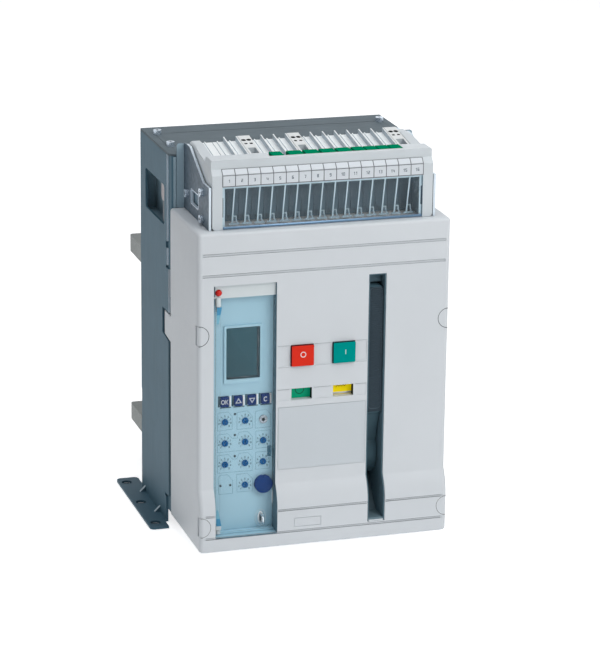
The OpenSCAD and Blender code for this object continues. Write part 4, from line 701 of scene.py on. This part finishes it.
def key_trim():
    """A light bar at the right of each key, and painted shade of its surround at the left and below."""
    flange, gap, bar = 0.9, 0.45, 1.45
    bar_proud, shade_proud = 1.2, 0.12
    bm_light, bm_shade = bmesh.new(), bmesh.new()
    for key in KEYS:
        low, high = span(key)
        x0, x1, z0, z1 = low.x + flange, high.x - flange, low.z + flange, high.z - flange
        right_bar = rounded(x1 + gap, z0 - 0.2, x1 + gap + bar, z1 + 0.2, r=0.3)
        left_shade = rounded(x0 - gap - bar, z0 - 0.4, x0 - gap, z1 + 0.6, r=0.3)
        low_shade = rounded(x0 - 0.4, z0 - 1.5, x1 + 2.2, z0 - 0.8, r=0.2)
        prism(bm_light, right_bar, on_fascia, bar_proud, edge=0.3)
        prism(bm_shade, left_shade, on_fascia, shade_proud)
        prism(bm_shade, low_shade, on_fascia, shade_proud)
    piece("key_surrounds", bm_light, "white_print")
    piece("key_shadows", bm_shade, "dark_print")


# Lines of each key's sign round the key's middle, with their width and whether they close
KEY_SIGNS = {
    "key_ok": [(arc(-1.75, 0, 1.3, 1.7, 0, 345, 16), 0.5, True),
               ([(0.55, -1.8), (0.55, 1.8)], 0.45, False),
               ([(2.6, 1.9), (0.95, 0), (2.6, -1.9)], 0.42, False)],
    "key_up": [([(-2.2, -1.5), (2.2, -1.5), (0, 2)], 0.5, True)],
    "key_down": [([(-2.2, 1.5), (2.2, 1.5), (0, -2)], 0.5, True)],
    "key_clear": [(arc(0, 0, 1.35, 1.75, 50, 310, 14), 0.6, False)],
}


def key_signs():
    """White signs on the keys."""
    for key, lines in KEY_SIGNS.items():
        mid = middle(key)
        face = on_front(span(key)[0].y)
        bm = bmesh.new()
        for pts, width, closed in lines:
            stroke(bm, [(mid.x + u, mid.z + v) for u, v in pts], width, face, SIGN, closed)
        piece(key + "_sign", bm, "white_print", key)


# Places of the fascia's print, in pixels of an enlarged view of the photograph. Dial 1 is at
# PRINT_DIAL, a pixel is PRINT_PIXEL mm wide and high, and level lines rise by PRINT_RISE.
PRINT_DIAL = (340, 420)
PRINT_PIXEL = (0.075, 0.0758)
PRINT_RISE = 0.0877
PRINT_OUTLINES = {
    "dial 1": [(262, 318), (375, 305), (422, 356), (422, 500), (258, 522)],
    "dial 2": [(476, 312), (590, 290), (650, 350), (650, 485), (476, 503)],
    "test socket": [(682, 298), (800, 270), (855, 330), (855, 470), (682, 488)],
    "dials 3 and 4": [(262, 565), (372, 550), (425, 606), (480, 600), (498, 535), (592, 522), (650, 580),
                      (650, 728), (258, 768)],
    "dial 5": [(690, 522), (855, 505), (855, 702), (690, 718)],
    "dials 6 and 7": [(262, 800), (380, 786), (428, 842), (478, 836), (500, 776), (600, 762), (650, 816),
                      (650, 970), (258, 1000)],
    "dial 8": [(690, 762), (852, 746), (852, 942), (690, 958)],
    "lamps": [(266, 1050), (292, 1024), (372, 1018), (430, 1084), (430, 1232), (274, 1244)],
    "dial 9": [(476, 1016), (592, 1000), (655, 1064), (655, 1204), (480, 1218)],
}
PRINT_LAMPS = ((452, 328), (452, 565), (452, 805), (292, 1145), (403, 1135))


def on_print(u, v):
    """A place of the fascia's print as X and Z."""
    dial_x, dial_z = 25.2 - HALF_W, 118.3
    across, down = u - PRINT_DIAL[0], v - PRINT_DIAL[1]
    return (dial_x + across * PRINT_PIXEL[0], dial_z - (down + across * PRINT_RISE) * PRINT_PIXEL[1])


def fascia_print():
    """Outlines round the groups of dials."""
    width = 0.3
    bm = bmesh.new()
    for outline in PRINT_OUTLINES.values():
        stroke(bm, [on_print(u, v) for u, v in outline], width, on_fascia, PRINT, closed=True)
    piece("fascia_outlines", bm, "print_line")


def dial_scales():
    """Numbered marks round each dial."""
    dials, marks, start, sweep = 9, 9, 225, 270
    mark_r, mark_wide, number_r = (3.5, 3.8), 0.3, 5.1
    bm = bmesh.new()
    for i in range(1, dials + 1):
        mid = middle("dial_%d" % i)
        for k in range(marks):
            degrees = start - sweep * k / (marks - 1)
            stroke(bm, [polar(mid.x, mid.z, r, r, degrees) for r in mark_r], mark_wide, on_fascia, PRINT)
            x, z = polar(mid.x, mid.z, number_r, number_r, degrees)
            number(bm, str(k + 1), x, z, tall=1.25, width=0.27, to_world=on_fascia, depth=PRINT)
    piece("dial_scales", bm, "dark_print")


def fascia_lamps():
    """Small dark lamps between the dials."""
    radius, proud, dome = 1.0, 0.9, 0.45
    bm = bmesh.new()
    for u, v in PRINT_LAMPS:
        x, z = on_print(u, v)
        prism(bm, disc(x, z, radius), on_fascia, proud, dome)
    piece("fascia_lamps", bm, "lamp_dark")


def unit_cover_trim():
    """Catch behind the clear cover, and the coloured ends of the cover at its two hinges."""
    catch_x, catch_z = (-45.4, -42), (85.7, 95)
    catch = rounded(catch_x[0], catch_z[0], catch_x[1], catch_z[1], r=0.4)
    plate("cover_catch", "catch_teal", catch, on_fascia, 0.25, edge=0.1, flat=True)
    low, high = span("unit_cover")
    hinge_x, low_end, high_end = low.x + 0.8, low.z + 6.35, high.z - 6.5
    thick, cap_tall, cap_reach = 0.1, 3.5, 4.0
    face = on_front(low.y)
    cap = rounded(hinge_x - 0.2, low_end - cap_tall, hinge_x + cap_reach, low_end, r=0.4)
    plate("hinge_cap", "unit_white", cap, face, thick, body="unit_cover", flat=True)
    root_wide, mid_wide, tip_wide = 4.2, 3.0, 1.4
    mid_at, tip_at = 6.5, 14
    for name, mat, z0, z1, w0, w1 in (("hinge_ends", "hinge_blue", 0, mid_at, root_wide, mid_wide),
                                      ("hinge_tapers", "hinge_pale", mid_at, tip_at, mid_wide, tip_wide)):
        bm = bmesh.new()
        for root, way in ((low_end, 1), (high_end, -1)):
            a, b = root + way * z0, root + way * z1
            prism(bm, [(hinge_x, a), (hinge_x + w0, a), (hinge_x + w1, b), (hinge_x, b)], face, thick)
        piece(name, bm, mat, "unit_cover", flat=True)


def seal_eye():
    """Oval boss behind the seal staple, with painted shade for the depth of its slit."""
    mid = middle("seal_loop")
    boss_proud, rim_proud, rim_wide = 0.5, 0.1, 0.6
    rim = arc(mid.x, mid.z, 4.4, 7, 0, 352, 28)
    boss = arc(mid.x, mid.z, 2.6, 5.6, 0, 345, 23)
    slit = arc(mid.x - 0.3, mid.z + 0.2, 0.95, 4.2, 0, 345, 23)
    line("seal_eye_rim", "eye_rim", rim, rim_wide, on_fascia, rim_proud, closed=True)
    plate("seal_eye", "white_print", boss, on_fascia, boss_proud, edge=0.3)
    plate("seal_slit", "black_gap", slit, on_front(FASCIA_Y - boss_proud), FILM)


def unit_gaps():
    """Shadow gaps beside the reset button, below the top band and in front of the unit's foot."""
    band_y, band_left, recess_floor_z = -147.5, -84.8, 23.5
    reset_z, below_band_z = (226.4, 235.4), (223.5, 224.7)
    left, right = case_low.x, case_high.x - 0.65
    bm = bmesh.new()
    prism(bm, rounded(left + 0.1, reset_z[0], left + 0.8, reset_z[1], r=0.2), on_front(band_y), PRINT)
    prism(bm, rounded(band_left, below_band_z[0], right, below_band_z[1], r=0.2), on_fascia, PRINT)
    prism(bm, rounded(left, FOOT_Y + 0.8, right, FOOT_Y + 2, r=0.2), on_top(recess_floor_z), PRINT)
    piece("unit_gaps", bm, "gap_blue")


# Buttons, flags and front cover

def button_signs():
    """O and I on the two buttons."""
    proud = 0.08
    mid = middle("off_button")
    face = on_front(span("off_button")[0].y)
    circle = arc(mid.x + 0.3, mid.z + 1, 2.1, 2.1, 0, 348, 24)
    line("off_sign", "white_print", circle, 0.6, face, proud, closed=True, body="off_button", flat=True)
    mid = middle("on_button")
    face = on_front(span("on_button")[0].y)
    bar = [(mid.x + 0.9, mid.z - 1.1), (mid.x + 0.9, mid.z + 2.1)]
    line("on_sign", "pale_print", bar, 0.8, face, proud, body="on_button", flat=True)


def upper_field(flag):
    """Outline of the part of a flag that its window shows at the other limit."""
    low, high = span(flag)
    rim, tall = 0.6, 10.8
    return rounded(low.x + rim, high.z - rim - tall, high.x - rim, high.z - rim, r=0.4)


def flag_signs():
    """O and I on the status flag; a spring, a plain field and a painted highlight band at the foot of the
    charge flag, for the lit sill of its window.
    """
    flag = "status_flag"
    low, high = span(flag)
    x = middle(flag).x
    circle = arc(x, FLAG_WINDOW_Z + 1.8, 3.6, 3.6, 0, 350, 28)
    bar = [(x, high.z - 9), (x, high.z - 3)]
    line("status_open_sign", "black_gap", circle, 0.5, on_front(low.y), SIGN, closed=True, body=flag)
    plate("status_closed_field", "button_red", upper_field(flag), on_front(low.y), FILM, body=flag)
    line("status_closed_sign", "white_print", bar, 1.2, on_front(low.y - FILM), FILM, body=flag)
    flag = "charge_flag"
    low, high = span(flag)
    x = middle(flag).x
    turns, turn_wide, turn_half = 8, 1.2, 0.7
    spring = [(x - 4.2 + turn_wide * i, FLAG_WINDOW_Z + 2.2 + (turn_half if i % 2 else -turn_half))
              for i in range(turns)]
    band = rounded(low.x + 0.3, low.z + 1.2, high.x - 0.3, low.z + 3, r=0.3)
    line("charged_sign", "black_gap", spring, 0.45, on_front(low.y), SIGN, body=flag)
    plate("discharged_field", "white_print", upper_field(flag), on_front(low.y), FILM, body=flag)
    plate("flag_foot_highlight", "white_print", band, on_front(low.y), FILM, body=flag)


def rating_plate():
    """Bare plate in the cover's seat."""
    x, z = (-38.6, 35.6), (76.3, 129.3)
    seat_deep, thick = 0.46, 0.4
    plate("rating_plate", "label_film", rounded(x[0], z[0], x[1], z[1], r=0.8), on_front(FRONT_Y + seat_deep),
          thick, edge=0.12, flat=True)


def panel_seams():
    """Fine seams across the panel, along the bands of the buttons and the flags."""
    band_edges = (181.9, 163.6, 144.7)
    runs = ((-39.5, -29.6), (-8.4, 5.8), (27.2, 36.4))
    width = 0.22
    bm = bmesh.new()
    for z in band_edges:
        for x0, x1 in runs:
            stroke(bm, [(x0, z), (x1, z)], width, on_front(FRONT_Y), HAIRLINE)
    piece("panel_seams", bm, "seam_grey")


def groove_lines():
    """Shadow lines along both edges of the cover's grooves: on the main face, and inside them at the foot."""
    width = 0.3
    groove_z, groove_half, groove_x = (244.5, 261.8), 0.95, 102
    bm = bmesh.new()
    for z in groove_z:
        for edge in around(z, groove_half):
            stroke(bm, [(-groove_x, edge), (groove_x, edge)], width, on_front(FRONT_Y), HAIRLINE)
    foot_half, foot_deep, foot_lift = 0.75, 0.5, 0.48
    foot_runs = ((43.05, ((-101, -94), (-39.6, 36), (53, 101))), (24.05, ((-101, 101),)))
    for z, runs in foot_runs:
        for x0, x1 in runs:
            for edge in around(z, foot_half):
                stroke(bm, [(x0, edge), (x1, edge)], width, on_front(FOOT_Y + foot_deep), foot_lift)
    piece("groove_lines", bm, "seam_grey")


def plug_lines():
    """Shadow lines round the corner plugs, in their gaps where the foot is the cover's foremost face."""
    plug_inset, line_r = 1, 8.35
    for name, mat, y, z, width in (("plug_lines", "plug_line", FRONT_Y, 195, 0.5),
                                   ("foot_plug_lines", "black_gap", FOOT_Y + 0.06, 34, 0.3)):
        bm = bmesh.new()
        for sx in (-1, 1):
            turn_from = sx * 90
            half_ring = arc(sx * (HALF_W - plug_inset), z, line_r, line_r, turn_from, turn_from + 180, 20)
            stroke(bm, half_ring, width, on_front(y), HAIRLINE)
        piece(name, bm, mat)


def handle_trim():
    """Small plate at the head of the handle's well, and a painted highlight along the rim of the grip."""
    head_x, head_y, head_z = (38.2, 50.7), -139.5, (227.6, 235.7)
    head = rounded(head_x[0], head_z[0], head_x[1], head_z[1], r=0.8)
    plate("well_head", "well_slate", head, on_front(head_y), 1.2, edge=0.3)
    low, high = span("charge_handle")
    rim, grip_foot_z, grip_head_z = 0.9, 121, 224.4
    outline = rounded(low.x + rim, grip_foot_z, high.x - rim, grip_head_z, r=3, n=5)
    line("grip_rim", "grip_rim", outline, 0.4, on_front(low.y), HAIRLINE, closed=True, body="charge_handle")


# Terminal block

def cell_edge(i):
    """X of the left edge of a wiring channel."""
    return CELL_START + i * CELL_PITCH


def labels():
    """Numbered chips on the front of the beam, blank ones on its slope, and lines between them."""
    slope_start = Vector((0, BLOCK_Y + 0.3, BEAM_Z + 9.84))
    slope_end = Vector((0, BLOCK_Y + 3.7, BEAM_Z + 13.66))
    along = (slope_end - slope_start).normalized()
    out = Vector((0, -along.z, along.y))
    slope_tall = (slope_end - slope_start).length
    sunk, thick, gap = 0.02, 0.3, 0.3
    slope = on_slope(slope_start - out * sunk, along, out)
    bm = bmesh.new()
    for i in range(CELLS):
        x0, x1 = cell_edge(i) + gap, cell_edge(i + 1) - gap
        front_chip = rounded(x0, BEAM_Z + 0.8, x1, BEAM_Z + 9.2, r=0.4, n=2)
        slope_chip = rounded(x0, 0, x1, slope_tall, r=0.4, n=2)
        prism(bm, front_chip, on_front(BLOCK_Y + sunk), thick, edge=0.1)
        prism(bm, slope_chip, slope, thick, edge=0.15)
    piece("label_chips", bm, "label_white", flat=True)
    number_x, number_z, chip_face = 5.4, BEAM_Z + 5, on_front(BLOCK_Y - 0.27)
    bm = bmesh.new()
    for i in range(CELLS):
        number(bm, str(i + 1), cell_edge(i) + number_x, number_z, tall=2.2, width=0.36,
               to_world=chip_face, depth=PRINT)
    piece("label_numbers", bm, "dark_print", flat=True)
    # The lines' heights differ a little, so that no two faces coincide where lines cross
    upright, level = 0.5, 0.45
    bm = bmesh.new()
    for i in range(CELLS + 1):
        x = cell_edge(i)
        stroke(bm, [(x, BEAM_Z + 0.6), (x, BEAM_Z + 9.4)], upright, on_front(BLOCK_Y), 0.32)
        stroke(bm, [(x, 0), (x, slope_tall)], upright, slope, 0.34)
    for z in (BEAM_Z + 0.5, BEAM_Z + 9.45):
        stroke(bm, [(CELL_START, z), (-CELL_START, z)], level, on_front(BLOCK_Y), 0.31)
    top = slope_tall + 0.1
    stroke(bm, [(CELL_START, top), (-CELL_START, top)], level, slope, 0.33)
    piece("label_lines", bm, "label_ink", flat=True)


def dividers():
    """Painted highlights on the leaning front edges of the channel dividers, rear edges with a catch, and
    clips at the foot.
    """
    lean_top = Vector((0, BLOCK_Y + 2.1, BEAM_Z - 0.6))
    lean_low = Vector((0, BLOCK_Y + 10.1, BEAM_Z - 33.6))
    lean = (lean_low - lean_top).normalized()
    leaning = on_slope(lean_top, lean, Vector((0, lean.z, -lean.y)))
    edge_half, edge_tall = 0.55, 33
    low, high = span("channel_dividers")
    rear = on_front(high.y - 0.4)
    clip_front = on_front(lean_low.y - 0.2)
    catch_z, foot = 299, low.z + 0.8
    bm_edge, bm_rear, bm_clip = bmesh.new(), bmesh.new(), bmesh.new()
    for x in (cell_edge(i) for i in range(1, CELLS)):
        left, right = around(x, edge_half)
        prism(bm_edge, [(left, 0), (right, 0), (right, edge_tall), (left, edge_tall)], leaning, 0.2)
        stroke(bm_rear, [(x, low.z + 1), (x, catch_z), (x - 0.5, catch_z + 1.5), (x + 0.4, catch_z + 3),
                         (x, catch_z + 4.5), (x, high.z - 1)], 0.55, rear, 0.2)
        stroke(bm_clip, [(x + 0.4, foot), (x + 0.7, foot + 6.6), (x + 3.3, foot + 6.6), (x + 3.5, foot + 3.2),
                         (x + 4.6, foot + 0.6)], 1, clip_front, 0.5)
        stroke(bm_clip, [(x - 1.6, foot + 0.3), (x + 5.4, foot + 0.3)], 1.3, clip_front, 0.42)
    piece("divider_edges", bm_edge, "edge_light", flat=True)
    piece("divider_rear_edges", bm_rear, "clear_rear", flat=True)
    piece("divider_clips", bm_clip, "clip_blue", flat=True)


def channel_ends():
    """Painted highlight strips at both ends of the channels, each with painted shade in its latch slot, and
    edges above and below, the upper one also a painted highlight.
    """
    strip_x, strip_z = (81.6, 83.8), (280.6, 313.6)
    slot_x, slot_z = (82.9, 83.9), (290, 305.6)
    bm, bm_slot = bmesh.new(), bmesh.new()
    for sx in (-1, 1):
        x0, x1 = sorted(sx * x for x in strip_x)
        end_strip = rounded(x0, strip_z[0], x1, strip_z[1], r=0.3, n=2)
        prism(bm, end_strip, on_front(BLOCK_Y + 2.4), 0.4, edge=0.15)
        x0, x1 = sorted(sx * x for x in slot_x)
        latch_slot = rounded(x0, slot_z[0], x1, slot_z[1], r=0.2, n=2)
        prism(bm_slot, latch_slot, on_front(BLOCK_Y + 2), 0.08)
    half = -CELL_START - 0.4
    head_strip = rounded(-half, BEAM_Z - 1.5, half, BEAM_Z - 0.1, r=0.3, n=2)
    prism(bm, head_strip, on_front(BLOCK_Y + 1.6), 0.5, edge=0.15)
    piece("channel_ends", bm, "edge_light", flat=True)
    piece("latch_slots", bm_slot, "latch_navy", flat=True)
    low, high = span("terminal_cover")
    inset = 1.6
    foot_strip = rounded(low.x + inset, low.z + 0.1, high.x - inset, low.z + 2.2, r=0.4, n=2)
    plate("channel_edge_strip", "edge_blue", foot_strip, on_front(low.y), 0.35, edge=0.15)


def bracket_rims():
    """Bright pressed rims round the brackets' openings."""
    bracket_x, opening_y, opening_z = 95.2, (-110.5, -86.5), (289.3, 301.3)
    opening = rounded(opening_y[0], opening_z[0], opening_y[1], opening_z[1], r=1.2, n=3)
    rim_wide, rim_proud = 0.8, 0.2
    bm = bmesh.new()
    for sx in (-1, 1):
        stroke(bm, opening, rim_wide, on_side(sx * bracket_x, sx), rim_proud, closed=True)
    piece("bracket_rims", bm, "screw_zinc", flat=True)


def screw_recesses():
    """Painted shade in the cross recesses of the bracket screws' heads and the top plate's screw heads."""
    arm, half = 1.9, 0.35
    bracket_head_x, bracket_screws = 97.8, ((-76, 294.8), (-122, 306.8), (-122, 284.8))
    top_head_z, top_x, top_rows = 327.6, 98, (-31, 13)
    bm = bmesh.new()
    for sx in (-1, 1):
        heads = [(place, on_side(sx * bracket_head_x, sx)) for place in bracket_screws]
        heads += [((sx * top_x, y), on_top(top_head_z)) for y in top_rows]
        for (u, v), face in heads:
            for a, b in ((arm, half), (half, arm)):
                prism(bm, rounded(u - a, v - b, u + a, v + b, r=0.15, n=2), face, PRINT)
    piece("screw_recesses", bm, "black_gap")


for build in (paint_frame, paint_cover, paint_terminal_block, display, key_trim, key_signs, fascia_print,
              dial_scales, fascia_lamps, unit_cover_trim, seal_eye, unit_gaps, button_signs, flag_signs,
              rating_plate, panel_seams, groove_lines, plug_lines, handle_trim, labels, dividers,
              channel_ends, bracket_rims, screw_recesses):
    build()


# Studio: pale floor, soft light and the photograph's camera

def background_ray(tree):
    """1 on the rays that show the background itself: from the camera, through clear pieces and off gloss."""
    path = tree.nodes.new("ShaderNodeLightPath")
    value = path.outputs["Is Camera Ray"]
    for ray in ("Is Transmission Ray", "Is Glossy Ray"):
        node = tree.nodes.new("ShaderNodeMath")
        node.operation = "MAXIMUM"
        tree.links.new(value, node.inputs[0])
        tree.links.new(path.outputs[ray], node.inputs[1])
        value = node.outputs[0]
    return value


def two_levels(tree, target, lit, shown):
    """Set a strength to one value for the light that falls on the object and another for the background."""
    node = tree.nodes.new("ShaderNodeMapRange")
    node.inputs["To Min"].default_value = lit
    node.inputs["To Max"].default_value = shown
    tree.links.new(background_ray(tree), node.inputs["Value"])
    tree.links.new(node.outputs["Result"], target)


def paper(name, scale, a, b, rough):
    """A matt, slightly cloudy material for the stage."""
    mat, tree, bsdf, coord = shader(name)
    cloud = noise(tree, coord, scale, detail=3)
    tint(tree, bsdf, cloud, a, b)
    bsdf.inputs["Roughness"].default_value = rough
    return mat


def stage_mesh(name, bm, mat):
    """A mesh of the stage, which is no part of the object."""
    mesh = bpy.data.meshes.new(name)
    bm.to_mesh(mesh)
    bm.free()
    mesh.materials.append(mat)
    ob = bpy.data.objects.new(name, mesh)
    scene.collection.objects.link(ob)


def floor():
    """Pale floor, a little below the feet, that goes over into the white background."""
    mat = paper("floor_paper", scale=6, a=(0.86, 0.87, 0.88, 1), b=(0.9, 0.905, 0.91, 1), rough=0.8)
    bsdf = mat.node_tree.nodes["Principled BSDF"]
    bsdf.inputs["Emission Color"].default_value = (1, 1, 1, 1)
    two_levels(mat.node_tree, bsdf.inputs["Emission Strength"], lit=0.2, shown=0.72)
    half, rear, below, thick = 6000, 9000, -12, 11.5
    bm = bmesh.new()
    prism(bm, rounded(-half, -half, half, rear, r=600), on_top(below), thick, edge=4)
    stage_mesh("floor", bm, mat)


def floor_shade():
    """Deep shade on the floor below the foot holes."""
    mat = paper("floor_shade", scale=40, a=srgb(88, 104, 114), b=srgb(98, 114, 124), rough=0.9)
    hole_x, hole_pitch, radius = 117, 51.5, 5.2
    floor_z, thick = -0.5, 0.2
    bm = bmesh.new()
    for x in (-hole_x, hole_x):
        for y in (-hole_pitch, 0, hole_pitch):
            prism(bm, disc(x, y, radius), on_top(floor_z), thick, edge=0.05)
    stage_mesh("floor_shade", bm, mat)


def surroundings():
    """White background with a dimmer light of its own."""
    world = bpy.data.worlds.new("studio")
    scene.world = world
    world.use_nodes = True
    background = world.node_tree.nodes["Background"]
    two_levels(world.node_tree, background.inputs["Strength"], lit=0.21, shown=1.0)
    background.inputs["Color"].default_value = (0.97, 0.985, 1.0, 1)


def area_light(name, place, to, size, power, colour):
    """A soft box, placed and aimed in metres."""
    light = bpy.data.lights.new(name, "AREA")
    light.shape = "RECTANGLE"
    light.size, light.size_y = size
    light.energy = power
    light.color = colour
    ob = bpy.data.objects.new(name, light)
    ob.location = place
    ob.rotation_mode = "QUATERNION"
    ob.rotation_quaternion = (Vector(to) - Vector(place)).to_track_quat("-Z", "Y")
    scene.collection.objects.link(ob)


def camera():
    """The camera that was fitted to the photograph."""
    focal_px, picture_px, sensor = 2900, 660, 36
    yaw, pitch, roll = (math.radians(degrees) for degrees in (17.10, 17.03, 0.67))
    flat_forward = Vector((math.sin(yaw), math.cos(yaw), 0))
    forward = flat_forward * math.cos(pitch) - Vector((0, 0, math.sin(pitch)))
    level = Vector((math.cos(yaw), -math.sin(yaw), 0))
    rise = level.cross(forward)
    right = level * math.cos(roll) + rise * math.sin(roll)
    up = rise * math.cos(roll) - level * math.sin(roll)
    cam = bpy.data.cameras.new("camera")
    cam.sensor_width = sensor
    cam.lens = focal_px * sensor / picture_px
    cam.clip_end = 50
    ob = bpy.data.objects.new("camera", cam)
    ob.rotation_mode = "QUATERNION"
    ob.rotation_quaternion = Matrix((right, up, -forward)).transposed().to_quaternion()
    ob.location = (-0.6793, -2.2897, 0.8801)
    scene.collection.objects.link(ob)
    scene.camera = ob


floor()
floor_shade()
surroundings()
WARM, COOL, BLUE = (1.0, 0.99, 0.97), (0.97, 0.985, 1.0), (0.92, 0.96, 1.0)
area_light("key_light", (0.7, -1.35, 1.25), to=(0, -0.1, 0.16), size=(1.0, 0.9), power=13.7, colour=WARM)
area_light("top_light", (-0.1, -0.4, 1.8), to=(0, -0.05, 0.2), size=(1.3, 1.3), power=10.8, colour=COOL)
area_light("left_light", (-1.9, -0.5, 0.8), to=(0, 0, 0.16), size=(0.9, 0.9), power=0.2, colour=BLUE)
area_light("rear_light", (1.1, 1.9, 0.7), to=(0, 0.05, 0.16), size=(1.2, 1.0), power=3, colour=COOL)
camera()
scene.view_settings.view_transform = "Standard"
